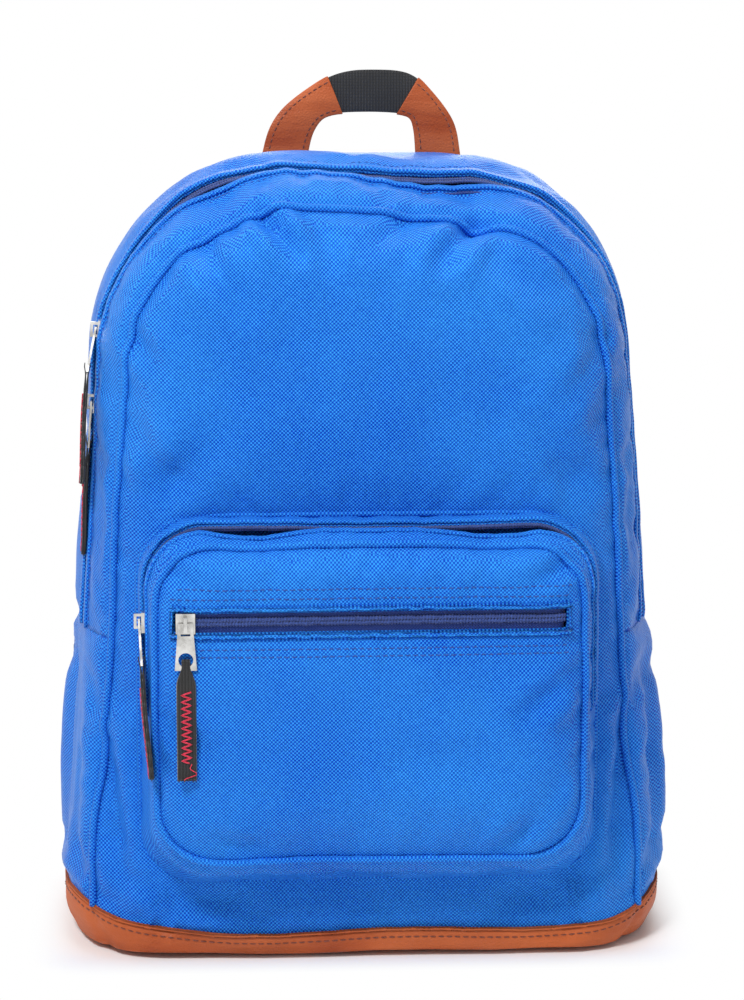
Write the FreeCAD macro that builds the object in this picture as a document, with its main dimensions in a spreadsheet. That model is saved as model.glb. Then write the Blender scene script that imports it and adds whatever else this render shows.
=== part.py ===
import FreeCAD, Part
import Sketcher
import math
import os

from FreeCAD import Placement, Rotation, Vector

# School backpack in millimetres. +Z is up, the front panel faces -Y, the straps are on +Y,
# and the origin is the middle of the flat bottom.

SIZES = [
    # fabric and seams
    ("fabric", 2.0, "thickness of every fabric or leather wall"),
    ("seam_gap", 0.3, "clearance between neighbouring pieces"),
    # main body, seen from the front: straight sides, round shoulders
    ("body_height", 437.0, "floor to the top of the bag"),
    ("base_width", 344.0, "width between the side lines at the floor"),
    ("top_width", 280.0, "width between the side lines at the top"),
    ("shoulder_share", 0.68, "shoulder radius as a share of half the top's width"),
    ("base_corner_radius", 17.0, "radius of the bottom corners"),
    # main body, seen from above
    ("back_depth", 75.0, "origin to the back face"),
    ("front_depth", 76.0, "origin to the middle of the front panel"),
    ("front_round_start", 8.0, "origin to where the front starts to round in"),
    ("front_round_side", 64.0, "how far the front rounds in from the sides"),
    ("front_round_top", 50.0, "how far the front rounds in from the top"),
    ("front_round_base", 9.0, "how far the front rounds in from the floor"),
    ("back_round_depth", 40.0, "depth over which the back edge rounds in"),
    ("back_round_side", 10.0, "how far the back edge rounds in from the sides"),
    ("back_round_top", 3.0, "how far the back edge rounds in from the top"),
    ("front_seam_depth", 59.0, "origin to the front panel seam"),
    ("leather_front_height", 14.0, "top of the leather base at the front"),
    ("leather_back_height", 36.0, "top of the leather base at the back"),
    ("foam_thickness", 8.0, "back foam"),
    # main zip
    ("zip_depth", 22.0, "origin to the middle of the main zip"),
    ("zip_width", 12.0, "both tapes of a closed zip"),
    ("zip_recess", 1.0, "how far a zip lies below the fabric"),
    ("zip_thickness", 2.0, "tape and coil together"),
    ("zip_end_height", 180.0, "floor to the ends of the main zip"),
    ("main_fold_height", 256.0, "floor to the line where the front folds down"),
    # organiser pocket
    ("organiser_top", 252.0, "top of the pocket at the front panel"),
    ("organiser_low", 34.0, "bottom of the pocket at the front panel"),
    ("organiser_width", 252.0, "width of the pocket at the front panel"),
    ("organiser_root_depth", 58.0, "origin to the hidden back end of the pocket sides"),
    ("organiser_zip_depth", 91.0, "origin to the middle of the pocket zip"),
    ("organiser_seam_setback", 11.0, "pocket face seam behind the middle of the face"),
    ("organiser_depth", 118.0, "origin to the middle of the pocket face"),
    ("organiser_taper", 4.0, "how much narrower each side is at the pocket zip"),
    ("organiser_roof_drop", 6.0, "how much lower the roof is at the pocket zip"),
    ("organiser_rise", 22.0, "how much higher the bottom is at the pocket zip"),
    ("organiser_round_side", 26.0, "how far the face rounds in from the sides"),
    ("organiser_round_top", 30.0, "how far the face rounds in from the top"),
    ("organiser_round_base", 52.0, "how far the face rounds in from the bottom"),
    ("organiser_top_radius", 34.0, "upper corners of the pocket"),
    ("organiser_base_radius", 30.0, "lower corners of the pocket"),
    ("organiser_zip_end_height", 147.0, "floor to the ends of the pocket zip"),
    ("pocket_fold_height", 98.0, "floor to the line where the face folds down"),
    # front zip in the pocket face
    ("front_zip_height", 204.0, "floor to the middle of the front zip"),
    ("front_zip_length", 212.0, "length of its window"),
    ("inner_pocket_width", 150.0, "width of the flat pocket behind the front zip"),
    ("inner_pocket_height", 88.0, "height of the flat pocket behind the front zip"),
    ("inner_pocket_depth", 4.0, "thickness of the flat pocket"),
    ("inner_pocket_set_back", 0.8, "flat pocket behind the front zip's tapes"),
    # piping
    ("piping_diameter", 3.4, "front seam and pocket face piping"),
    # zip hardware
    ("slider_width", 10.4, "across the zip"),
    ("slider_length", 11.2, "along the pull"),
    ("slider_plate", 2.2, "slider body above the tape"),
    ("crown_width", 2.0, "bridge that holds the pull"),
    ("crown_length", 8.4, "bridge along the pull"),
    ("crown_opening", 2.6, "clear height under the bridge"),
    ("crown_leg", 1.5, "bridge legs and bar"),
    ("pull_length", 26.0, "metal pull"),
    ("pull_neck_width", 7.8, "top of the pull"),
    ("pull_width", 12.0, "bottom of the pull"),
    ("pull_thickness", 1.2, "plate of the pull"),
    ("pull_strand", 1.4, "strand above the neck hole"),
    ("pull_slot_width", 5.2, "neck hole, round the bridge"),
    ("pull_eye", 8.0, "round hole for the tab"),
    ("pull_eye_edge", 1.8, "metal below the round hole"),
    ("tab_length", 62.0, "fabric tab"),
    ("tab_width", 11.0, "fabric tab"),
    ("tab_thickness", 1.1, "one layer of the tab"),
    ("tab_loop_width", 4.0, "part of the tab that runs through the round hole"),
    ("tab_play", 0.7, "clearance of the tab's two layers on the pull"),
    ("tab_slack", 1.0, "clearance of the tab's loop below the pull"),
    ("tab_seat", 2.9, "height of the tab's loop above the metal below the hole"),
    ("tab_neck", 3.0, "narrow part of the tab below its loop"),
    ("slider_lift", 0.9, "slider body to the tape"),
    ("lower_slider_drop", 34.0, "lower main slider below the start of the shoulder"),
    ("upper_slider_turn", 4.0, "degrees round the left shoulder to the upper main slider"),
    ("organiser_slider_height", 199.0, "floor to the pocket slider"),
    ("front_slider_inset", 6.0, "end of the front zip to its slider"),
    # back and straps
    ("yoke_width", 190.0, "strip that carries the straps"),
    ("yoke_height", 20.0, "strip that carries the straps"),
    ("yoke_drop", 43.0, "top of the bag to the bottom of the strip"),
    ("yoke_thickness", 2.5, "strip that carries the straps"),
    ("strap_thickness", 12.0, "padded shoulder strap"),
    ("strap_top_width", 60.0, "padded shoulder strap at the yoke"),
    ("strap_end_width", 38.0, "padded shoulder strap at the ladder lock"),
    ("strap_top_inner", 24.0, "middle of the back to the strap at the yoke"),
    ("strap_end_inset", 40.0, "side of the base to the strap at the ladder lock"),
    ("strap_end_height", 142.0, "floor to the lower end of the strap"),
    ("strap_bow", 34.0, "how far the strap stands off the back"),
    ("strap_end_offset", 12.0, "lower end of the strap to the back"),
    ("webbing_width", 25.0, "adjuster webbing"),
    ("webbing_thickness", 1.6, "adjuster webbing"),
    ("lock_width", 34.0, "ladder lock"),
    ("lock_height", 28.0, "ladder lock"),
    ("lock_thickness", 5.0, "ladder lock"),
    ("lock_bar", 3.5, "bars of the ladder lock"),
    ("lock_play", 0.8, "clearance of the lock's top bar in its webbing loop"),
    ("anchor_height", 34.0, "anchor tab"),
    ("anchor_width", 40.0, "anchor tab at the side seam"),
    ("anchor_low", 40.0, "floor to the anchor tab"),
    # haul loop
    ("loop_width", 26.0, "ribbon of the haul loop"),
    ("loop_thickness", 2.2, "webbing of the haul loop"),
    ("loop_span", 64.0, "clear width between the legs"),
    ("loop_clear_height", 24.0, "clear height under the loop"),
    ("loop_cover", 1.2, "leather on the legs"),
    ("loop_cover_height", 22.0, "leather on the legs"),
    ("loop_slope", 7.0, "how far the left leg leans in"),
    ("loop_chamfer", 12.0, "corners of the ribbon where it turns over"),
]

CROWN_STATIONS = 7
BACK_STATIONS = 4
WIDE = 400.0

document = FreeCAD.newDocument("SchoolBackpack")
sheet = document.addObject("Spreadsheet::Sheet", "Sizes")
for row, (alias, value, note) in enumerate(SIZES, start=1):
    sheet.set(f"A{row}", note)
    sheet.set(f"B{row}", str(value))
    sheet.setAlias(f"B{row}", alias)
document.recompute()


def size(alias):
    """A value of the sheet."""
    return float(sheet.get(alias))


# ---------------------------------------------------------------- outlines and shells


def rounded_wire(corners, radii, depth):
    """Closed wire in the plane y = depth through (x, z) corners, with a tangent arc at each."""
    points = [Vector(x, depth, z) for x, z in corners]
    arcs = []
    for index, corner in enumerate(points):
        before = (points[index - 1] - corner).normalize()
        after = (points[(index + 1) % len(points)] - corner).normalize()
        half = before.getAngle(after) / 2
        middle = (before + after).normalize()
        reach = radii[index] / math.tan(half)
        centre = corner + middle * (radii[index] / math.sin(half))
        arcs.append((corner + before * reach, centre - middle * radii[index], corner + after * reach))
    edges = []
    for index, (start, bend, end) in enumerate(arcs):
        edges.append(Part.Arc(start, bend, end).toShape())
        edges.append(Part.LineSegment(end, arcs[(index + 1) % len(arcs)][0]).toShape())
    return Part.Wire(edges)


def half_width(height):
    """Half the bag's width between its side lines."""
    base = size("base_width") / 2
    return base - (base - size("top_width") / 2) * height / size("body_height")


def bag_corners(side, top, base):
    """Corners of the bag's outline, inset from the sides, the top and the floor."""
    high = size("body_height") - top
    low_half = half_width(base) - side
    high_half = half_width(high) - side
    return [(-low_half, base), (low_half, base), (high_half, high), (-high_half, high)]


def bag_radii(side):
    """Corner radii of the bag's outline at an inset."""
    shoulder = size("shoulder_share") * (size("top_width") / 2 - side)
    corner = size("base_corner_radius")
    return [corner, corner, shoulder, shoulder]


def front_inset(depth):
    """Insets (side, top, base) of the bag at a distance in front of the origin."""
    start = size("front_round_start")
    share = max(0.0, (depth - start) / (size("front_depth") - start))
    round_in = 1 - math.sqrt(max(0.0, 1 - share * share))
    return (size("front_round_side") * round_in, size("front_round_top") * round_in,
            size("front_round_base") * round_in)


def bag_wire(depth, insets, skin):
    """Outline of the bag at y = depth, moved in by skin."""
    side, top, base = insets
    return rounded_wire(bag_corners(side + skin, top + skin, base + skin), bag_radii(side + skin), depth)


def bag_solid(skin):
    """The filled bag, with its surface moved in by skin."""
    wires = []
    back_start = size("back_depth") - size("back_round_depth")
    for station in range(BACK_STATIONS):
        turn = math.radians(90 * (1 - station / (BACK_STATIONS - 1)))
        round_in = 1 - math.cos(turn)
        insets = (size("back_round_side") * round_in, size("back_round_top") * round_in, 0.0)
        depth = back_start + (size("back_round_depth") - skin) * math.sin(turn)
        wires.append(bag_wire(depth, insets, skin))
    start = size("front_round_start")
    for station in range(CROWN_STATIONS):
        turn = math.radians(90 * station / (CROWN_STATIONS - 1))
        depth = start + (size("front_depth") - start) * math.sin(turn)
        place = start + (size("front_depth") - start - skin) * math.sin(turn)
        wires.append(bag_wire(-place, front_inset(depth), skin))
    return Part.makeLoft(wires, True, True)


def organiser_wire(depth, side, top, base, skin):
    """Outline of the organiser pocket at y = -depth, moved in by skin."""
    half = size("organiser_width") / 2 - side - skin
    low = size("organiser_low") + base + skin
    high = size("organiser_top") - top - skin
    corners = [(-half, low), (half, low), (half, high), (-half, high)]
    lower = size("organiser_base_radius")
    upper = size("organiser_top_radius")
    return rounded_wire(corners, [lower, lower, upper, upper], -depth)


def organiser_solid(skin):
    """The filled organiser pocket, with its surface moved in by skin."""
    taper, drop, rise = size("organiser_taper"), size("organiser_roof_drop"), size("organiser_rise")
    zip_depth = size("organiser_zip_depth")
    wires = [organiser_wire(size("organiser_root_depth"), 0, 0, 0, skin)]
    for station in range(CROWN_STATIONS):
        turn = math.radians(90 * station / (CROWN_STATIONS - 1))
        round_in = 1 - math.cos(turn)
        depth = zip_depth + (size("organiser_depth") - zip_depth - skin) * math.sin(turn)
        wires.append(organiser_wire(
            depth,
            taper + size("organiser_round_side") * round_in,
            drop + size("organiser_round_top") * round_in,
            rise + size("organiser_round_base") * round_in,
            skin,
        ))
    return Part.makeLoft(wires, True, True)


def slab(x=(-WIDE, WIDE), y=(-WIDE, WIDE), z=(-WIDE, 2 * WIDE)):
    """Box between the given limits."""
    return Part.makeBox(x[1] - x[0], y[1] - y[0], z[1] - z[0], Vector(x[0], y[0], z[0]))


def side_prism(points):
    """Solid across the whole width, from (y, z) points."""
    corners = [Vector(-WIDE, y, z) for y, z in points]
    face = Part.Face(Part.makePolygon(corners + corners[:1]))
    return face.extrude(Vector(2 * WIDE, 0, 0))


def leather_height(depth):
    """Height of the leather base's top edge at y = depth: it climbs towards the back."""
    front, back = size("leather_front_height"), size("leather_back_height")
    share = (depth + size("front_depth")) / (size("front_depth") + size("back_depth"))
    return front + (back - front) * share


def add_feature(label, shape):
    """A soft piece of the bag as an object of the document."""
    feature = document.addObject("Part::Feature", label)
    solids = shape.Solids
    feature.Shape = solids[0] if len(solids) == 1 else Part.makeCompound(solids)
    feature.Label = label
    feature.Placement = Placement()
    return feature


GAP = size("seam_gap")
FABRIC = size("fabric")
PIPE = size("piping_diameter") / 2 + GAP
PIECES = []


def piece(label, shape):
    PIECES.append(add_feature(label, shape))


# ---------------------------------------------------------------- main body

outer = bag_solid(0.0)
shell = outer.cut(bag_solid(FABRIC))
below = side_prism([
    (-WIDE, -WIDE), (WIDE, -WIDE), (WIDE, leather_height(WIDE)), (-WIDE, leather_height(-WIDE))])
above = side_prism([
    (-WIDE, leather_height(-WIDE) + GAP), (WIDE, leather_height(WIDE) + GAP),
    (WIDE, 2 * WIDE), (-WIDE, 2 * WIDE),
])
upper_shell = shell.common(above)

back_inner = size("back_depth") - FABRIC
gusset_back = back_inner - GAP
zip_back = -size("zip_depth") + size("zip_width") / 2
zip_front = -size("zip_depth") - size("zip_width") / 2
seam_front = -size("front_seam_depth")
zip_end = size("zip_end_height")
fold = size("main_fold_height")

piece("leather_base", shell.common(below))
piece("back_panel", upper_shell.common(slab(y=(back_inner, WIDE))))
piece("side_panel_left", upper_shell.common(slab(
    x=(-WIDE, 0), y=(seam_front + PIPE, gusset_back), z=(-WIDE, zip_end))))
piece("side_panel_right", upper_shell.common(slab(
    x=(0, WIDE), y=(seam_front + PIPE, gusset_back), z=(-WIDE, zip_end))))
piece("rear_gusset", upper_shell.common(slab(y=(zip_back, gusset_back), z=(zip_end + GAP, WIDE * 2))))
front_strip = upper_shell.common(slab(y=(seam_front + PIPE, zip_front), z=(zip_end + GAP, WIDE * 2)))
piece("front_gusset", front_strip.common(slab(z=(fold + GAP, WIDE * 2))))
piece("front_gusset_end_left", front_strip.common(slab(x=(-WIDE, 0), z=(-WIDE, fold))))
piece("front_gusset_end_right", front_strip.common(slab(x=(0, WIDE), z=(-WIDE, fold))))
front = upper_shell.common(slab(y=(-WIDE, seam_front - PIPE)))
piece("front_panel_lower", front.common(slab(z=(-WIDE, fold))))
piece("front_panel_upper", front.common(slab(z=(fold + GAP, WIDE * 2))))


def back_layer(skin, low, high):
    """A flat layer of the padded back between y = low and y = high."""
    corners = bag_corners(size("back_round_side") + skin, size("back_round_top") + skin, skin)
    outline = rounded_wire(corners, bag_radii(size("back_round_side") + skin), low)
    return Part.Face(outline).extrude(Vector(0, high - low, 0))


foam_back = back_inner - GAP
foam_front = foam_back - size("foam_thickness")
lining_back = foam_front - GAP
piece("back_foam", back_layer(FABRIC + GAP, foam_front, foam_back))
piece("back_lining", back_layer(FABRIC + GAP, lining_back - FABRIC, lining_back))

recess = size("zip_recess")
zip_shell = bag_solid(recess).cut(bag_solid(recess + size("zip_thickness")))
zip_middle = -size("zip_depth")
rear_tape = zip_shell.common(slab(y=(zip_middle, zip_back - GAP), z=(zip_end + GAP, WIDE * 2)))
front_tape = zip_shell.common(slab(y=(zip_front + GAP, zip_middle - GAP), z=(zip_end + GAP, WIDE * 2)))
piece("main_zip_rear", rear_tape)
piece("main_zip_front", front_tape.common(slab(z=(fold + GAP, WIDE * 2))))
piece("main_zip_end_left", front_tape.common(slab(x=(-WIDE, 0), z=(-WIDE, fold))))
piece("main_zip_end_right", front_tape.common(slab(x=(0, WIDE), z=(-WIDE, fold))))


def piping(outline):
    """Round piping along a closed outline."""
    start = outline.Edges[1]
    profile = Part.Circle(start.valueAt(start.FirstParameter), start.tangentAt(start.FirstParameter),
                          size("piping_diameter") / 2)
    tube = outline.makePipeShell([Part.Wire(profile.toShape())], True, False)
    return tube


front_pipe = piping(bag_wire(seam_front, front_inset(-seam_front), FABRIC / 2)).common(above)
piece("front_piping_left", front_pipe.common(slab(x=(-WIDE, 0), z=(-WIDE, fold))))
piece("front_piping_right", front_pipe.common(slab(x=(0, WIDE), z=(-WIDE, fold))))
piece("front_piping_upper", front_pipe.common(slab(z=(fold + GAP, WIDE * 2))))

# ---------------------------------------------------------------- organiser pocket

bag_clear = bag_solid(-GAP)
pocket_shell = organiser_solid(0.0).cut(organiser_solid(FABRIC)).cut(bag_clear)
pocket_zip_middle = -size("organiser_zip_depth")
pocket_zip_back = pocket_zip_middle + size("zip_width") / 2
pocket_zip_front = pocket_zip_middle - size("zip_width") / 2
pocket_seam = size("organiser_seam_setback") - size("organiser_depth")
pocket_zip_end = size("organiser_zip_end_height")
pocket_fold = size("pocket_fold_height")

piece("organiser_hood", pocket_shell.common(slab(y=(pocket_zip_back, 0), z=(pocket_zip_end + GAP, WIDE * 2))))
gusset_lower = pocket_shell.common(slab(y=(pocket_seam + PIPE, 0), z=(-WIDE, pocket_zip_end)))
piece("organiser_gusset_lower", gusset_lower.cut(
    slab(y=(-WIDE, pocket_zip_middle), z=(pocket_fold, WIDE * 2))))
front_side = pocket_shell.common(slab(
    y=(pocket_seam + PIPE, pocket_zip_middle - GAP), z=(pocket_fold + GAP, WIDE * 2)))
piece("organiser_front_gusset", front_side.cut(slab(y=(pocket_zip_front, 0), z=(pocket_zip_end, WIDE * 2))))
pocket_zip_shell = organiser_solid(recess).cut(organiser_solid(recess + size("zip_thickness"))).cut(bag_clear)
piece("organiser_zip_rear", pocket_zip_shell.common(slab(
    y=(pocket_zip_middle, pocket_zip_back - GAP), z=(pocket_zip_end + GAP, WIDE * 2))))
piece("organiser_zip_front", pocket_zip_shell.common(slab(
    y=(pocket_zip_front + GAP, pocket_zip_middle - GAP), z=(pocket_zip_end + GAP, WIDE * 2))))
face = pocket_shell.common(slab(y=(-WIDE, pocket_seam - PIPE)))
zip_half = size("zip_width") / 2
window_half = size("front_zip_length") / 2
window_low = size("front_zip_height") - zip_half
window_high = size("front_zip_height") + zip_half
window = slab(x=(-window_half, window_half), z=(window_low, window_high))
piece("organiser_face_lower", face.common(slab(z=(-WIDE, pocket_fold))))
piece("organiser_face_upper", face.common(slab(z=(pocket_fold + GAP, WIDE * 2))).cut(window))
tape_window = slab(
    x=(GAP - window_half, window_half - GAP), y=(-WIDE, pocket_seam - PIPE),
    z=(window_low + GAP, window_high - GAP))
piece("front_zip", pocket_zip_shell.common(tape_window))
pocket_front = -(size("organiser_depth") - recess - size("zip_thickness") - size("inner_pocket_set_back"))
piece("front_zip_pocket", slab(
    x=(-size("inner_pocket_width") / 2, size("inner_pocket_width") / 2),
    y=(pocket_front, pocket_front + size("inner_pocket_depth")),
    z=(window_high + FABRIC - size("inner_pocket_height"), window_high + FABRIC)))


def pocket_inset(depth):
    """Insets (side, top, base) of the pocket at y = -depth in front of its zip."""
    zip_depth = size("organiser_zip_depth")
    share = (depth - zip_depth) / (size("organiser_depth") - zip_depth)
    round_in = 1 - math.sqrt(1 - share * share)
    return (size("organiser_taper") + size("organiser_round_side") * round_in,
            size("organiser_roof_drop") + size("organiser_round_top") * round_in,
            size("organiser_rise") + size("organiser_round_base") * round_in)


side_in, top_in, base_in = pocket_inset(-pocket_seam)
pocket_pipe = piping(organiser_wire(-pocket_seam, side_in, top_in, base_in, FABRIC / 2))
piece("organiser_piping_lower", pocket_pipe.common(slab(z=(-WIDE, pocket_fold))))
piece("organiser_piping_upper", pocket_pipe.common(slab(z=(pocket_fold + GAP, WIDE * 2))))

# ---------------------------------------------------------------- helpers for made hardware


def origin_plane(body, role):
    """One of a body's own origin planes."""
    return next(plane for plane in body.Origin.OriginFeatures if plane.Role == role)


def new_sketch(body, name, role):
    """An empty sketch on one of the body's origin planes."""
    sketch = body.newObject("Sketcher::SketchObject", f"{body.Name}_{name}")
    sketch.AttachmentSupport = (origin_plane(body, role), [""])
    sketch.MapMode = "FlatFace"
    return sketch


def expression_value(expression):
    """The number that an expression of sheet values gives now."""
    probe = document.addObject("App::FeaturePython", "Probe")
    probe.addProperty("App::PropertyFloat", "Result")
    probe.setExpression("Result", expression)
    document.recompute([probe])
    value = probe.Result
    document.removeObject(probe.Name)
    return value


def bound(expression):
    """Sheet names in an expression written with the sheet's own name in front."""
    words = sorted((alias for alias, _, _ in SIZES), key=len, reverse=True)
    text = expression
    for word in words:
        text = text.replace(f"<{word}>", f"Sizes.{word}")
    return text


def polygon_sketch(body, name, role, corners):
    """Closed outline whose corners are pairs of expressions, each bound to the sheet."""
    sketch = new_sketch(body, name, role)
    points = [
        Vector(expression_value(bound(across)), expression_value(bound(up)), 0)
        for across, up in corners]
    for index, start in enumerate(points):
        end = points[(index + 1) % len(points)]
        sketch.addGeometry(Part.LineSegment(start, end), False)
    count = len(points)
    for index in range(count):
        sketch.addConstraint(Sketcher.Constraint("Coincident", index, 2, (index + 1) % count, 1))
    for index, (across, up) in enumerate(corners):
        start = points[index]
        for kind, expression, value in (("DistanceX", across, start.x), ("DistanceY", up, start.y)):
            place = sketch.addConstraint(Sketcher.Constraint(kind, -1, 1, index, 1, value))
            sketch.setExpression(f"Constraints[{place}]", bound(expression))
    return sketch


def box_sketch(body, name, role, low_across, high_across, low_up, high_up):
    """Rectangle between four expressions."""
    return polygon_sketch(body, name, role, [
        (low_across, low_up), (high_across, low_up), (high_across, high_up), (low_across, high_up)])


def pad(body, sketch, length, midplane=False, reversed_pad=False):
    """Pad a sketch by an expression."""
    feature = body.newObject("PartDesign::Pad", f"{sketch.Name}_pad")
    feature.Profile = sketch
    feature.Midplane = midplane
    feature.Reversed = reversed_pad
    feature.Length = expression_value(bound(length))
    feature.setExpression("Length", bound(length))
    sketch.Visibility = False
    document.recompute()
    return feature


def pocket(body, sketch, length):
    """Cut a sketch to both sides of its plane by an expression in all."""
    feature = body.newObject("PartDesign::Pocket", f"{sketch.Name}_pocket")
    feature.Profile = sketch
    feature.Midplane = True
    feature.Length = expression_value(bound(length))
    feature.setExpression("Length", bound(length))
    document.recompute()
    return feature


def new_body(label):
    body = document.addObject("PartDesign::Body", label)
    body.Label = label
    PIECES.append(body)
    return body


def circle_sketch(body, name, role, up, radius):
    """Circle on the sketch's vertical axis."""
    sketch = new_sketch(body, name, role)
    place_up = expression_value(bound(up))
    length = expression_value(bound(radius))
    sketch.addGeometry(Part.Circle(Vector(0, place_up, 0), Vector(0, 0, 1), length), False)
    sketch.addConstraint(Sketcher.Constraint("DistanceX", -1, 1, 0, 3, 0.0))
    rise = sketch.addConstraint(Sketcher.Constraint("DistanceY", -1, 1, 0, 3, place_up))
    sketch.setExpression(f"Constraints[{rise}]", bound(up))
    girth = sketch.addConstraint(Sketcher.Constraint("Radius", 0, length))
    sketch.setExpression(f"Constraints[{girth}]", bound(radius))
    return sketch


# ---------------------------------------------------------------- zip hardware
# Own frame of each piece: the zip's surface is the plane y = 0, outwards is -Y, the pull hangs
# towards -Z, and the pull's hinge runs along X.


def make_slider(label, placement):
    """Slider body with the bridge that holds its pull."""
    body = new_body(label)
    plate = box_sketch(body, "plate", "XZ_Plane", "-<slider_width>/2", "<slider_width>/2",
                       "-<slider_length>/2", "<slider_length>/2")
    pad(body, plate, "<slider_plate>")
    crown = box_sketch(body, "crown", "XZ_Plane", "-<crown_width>/2", "<crown_width>/2",
                       "-<crown_length>/2", "<crown_length>/2")
    pad(body, crown, "<slider_plate>+<crown_opening>+<crown_leg>")
    opening = box_sketch(body, "opening", "YZ_Plane", "-<slider_plate>-<crown_opening>", "-<slider_plate>",
                         "-<crown_length>/2+<crown_leg>", "<crown_length>/2-<crown_leg>")
    pocket(body, opening, "2*<slider_width>")
    body.Placement = placement
    return body


PULL_TOP = "<pull_strand>/2"
PULL_FOOT = "<pull_strand>/2-<pull_length>"
LEG_REACH = "<crown_length>/2+<pull_strand>+2*<seam_gap>"


def make_pull(label, placement):
    """Tapered plate: neck hole round the bridge's lower leg, round hole for the tab."""
    body = new_body(label)
    neck, foot = "<pull_neck_width>/2", "<pull_width>/2"
    plate = polygon_sketch(body, "plate", "XZ_Plane", [
        (f"-{foot}", PULL_FOOT), (foot, PULL_FOOT), (neck, PULL_TOP), (f"-{neck}", PULL_TOP)])
    pad(body, plate, "<pull_thickness>", midplane=True)
    slot = box_sketch(body, "slot", "XZ_Plane", "-<pull_slot_width>/2", "<pull_slot_width>/2",
                      f"-({LEG_REACH})", "-<pull_strand>/2")
    pocket(body, slot, "4*<pull_thickness>")
    eye = circle_sketch(body, "eye", "XZ_Plane", f"{PULL_FOOT}+<pull_eye_edge>+<pull_eye>/2", "<pull_eye>/2")
    pocket(body, eye, "4*<pull_thickness>")
    body.Placement = placement
    return body


def make_tab(label, placement):
    """Folded strip: its loop runs round the metal below the pull's round hole."""
    body = new_body(label)
    inner = "<pull_thickness>/2+<tab_play>"
    outside = f"{inner}+<tab_thickness>"
    low = "<pull_eye_edge>/2+<tab_slack>"
    high = "<pull_eye_edge>/2+<tab_seat>"
    neck = f"{low}+<tab_neck>"
    loop = box_sketch(body, "loop", "YZ_Plane", f"-({outside})", outside, f"-({low}+<tab_thickness>)",
                      f"{high}+<tab_thickness>")
    pad(body, loop, "<tab_loop_width>", midplane=True)
    neck_strip = box_sketch(body, "neck", "YZ_Plane", "-<tab_thickness>", "<tab_thickness>",
                            f"-({neck})", f"-({low})")
    pad(body, neck_strip, "<tab_loop_width>", midplane=True)
    strip = box_sketch(body, "strip", "YZ_Plane", "-<tab_thickness>", "<tab_thickness>",
                       "-<tab_length>", f"-({neck})")
    pad(body, strip, "<tab_width>", midplane=True)
    hole = box_sketch(body, "hole", "YZ_Plane", f"-({inner})", inner, f"-({low})", high)
    pocket(body, hole, "2*<tab_width>")
    body.Placement = placement
    return body


def pull_hinge():
    """Middle of the pull's strand in the slider's frame."""
    return Vector(0, -size("slider_plate") - size("crown_opening") / 2, 0)


def tab_hinge():
    """Middle of the metal below the round hole in the pull's frame."""
    return Vector(0, 0, size("pull_strand") / 2 - size("pull_length") + size("pull_eye_edge") / 2)


def hung(base, down, outwards):
    """Frame at base whose -Z points down the given way and whose -Y faces outwards."""
    high = Vector(down).normalize() * -1
    side = high.cross(Vector(outwards)).normalize()
    inwards = high.cross(side)
    return Placement(base, Rotation(side, inwards, high, "ZXY"))


def hang(name, slider_place, pull_down, tab_down, outwards):
    """A slider with its pull and its tab, each hanging the given way."""
    make_slider(f"{name}_slider", slider_place)
    pull_place = hung(slider_place.multVec(pull_hinge()), pull_down, outwards)
    make_pull(f"{name}_pull", pull_place)
    tab_place = hung(pull_place.multVec(tab_hinge()), tab_down, outwards)
    make_tab(f"{name}_tab", tab_place)


def shoulder_centre(depth):
    """Centre (x, z) and radius of the left shoulder arc of the bag's outline."""
    side, top, base = front_inset(depth)
    corners = bag_corners(side, top, base)
    corner = Vector(corners[3][0], 0, corners[3][1])
    down = (Vector(corners[0][0], 0, corners[0][1]) - corner).normalize()
    across = Vector(1, 0, 0)
    half = down.getAngle(across) / 2
    radius = bag_radii(side)[3]
    centre = corner + (down + across).normalize() * (radius / math.sin(half))
    return centre, radius


LEFT_SIDE = Rotation(Vector(0, 0, 1), -90)
slider_skin = recess - size("slider_lift")
side_lean = math.degrees(math.atan((size("base_width") - size("top_width")) / 2 / size("body_height")))
main_side_inset = front_inset(size("zip_depth"))[0]

arc_centre, arc_radius = shoulder_centre(size("zip_depth"))
lower_height = arc_centre.z - size("lower_slider_drop")
lower_place = Placement(
    Vector(-(half_width(lower_height) - main_side_inset - slider_skin), -size("zip_depth"), lower_height),
    Rotation(Vector(0, 1, 0), side_lean).multiply(LEFT_SIDE))
side_down = Rotation(Vector(0, 1, 0), side_lean).multVec(Vector(0, 0, -1))
hang("main_lower", lower_place, side_down, side_down, Vector(-1, 0, 0))

arc_reach = arc_radius - slider_skin
upper_angle = math.radians(size("upper_slider_turn"))
upper_place = Placement(
    Vector(arc_centre.x - arc_reach * math.cos(upper_angle), -size("zip_depth"),
           arc_centre.z + arc_reach * math.sin(upper_angle)),
    Rotation(Vector(0, 1, 0), size("upper_slider_turn")).multiply(LEFT_SIDE))
hang("main_upper", upper_place, Vector(-0.21, -0.37, -1), Vector(-0.066, -0.215, -1), Vector(-1, 0, 0.2))

organiser_half = size("organiser_width") / 2 - size("organiser_taper")
organiser_place = Placement(
    Vector(-(organiser_half - slider_skin), pocket_zip_middle, size("organiser_slider_height")), LEFT_SIDE)
hang("organiser", organiser_place, Vector(0.06, -0.36, -1), Vector(0.07, -0.25, -1), Vector(-1, 0, 0))

front_place = Placement(
    Vector(-window_half + size("front_slider_inset"), -(size("organiser_depth") - slider_skin),
           size("front_zip_height")), Rotation())
hang("front_zip", front_place, Vector(0, 0, -1), Vector(0, -0.02, -1), Vector(0, -1, 0))

# ---------------------------------------------------------------- back: yoke, straps, adjusters

def back_place():
    """Frame on the back face: its XZ plane lies a clearance behind the back panel."""
    return Placement(Vector(0, size("back_depth") + GAP, 0), Rotation())


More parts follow.
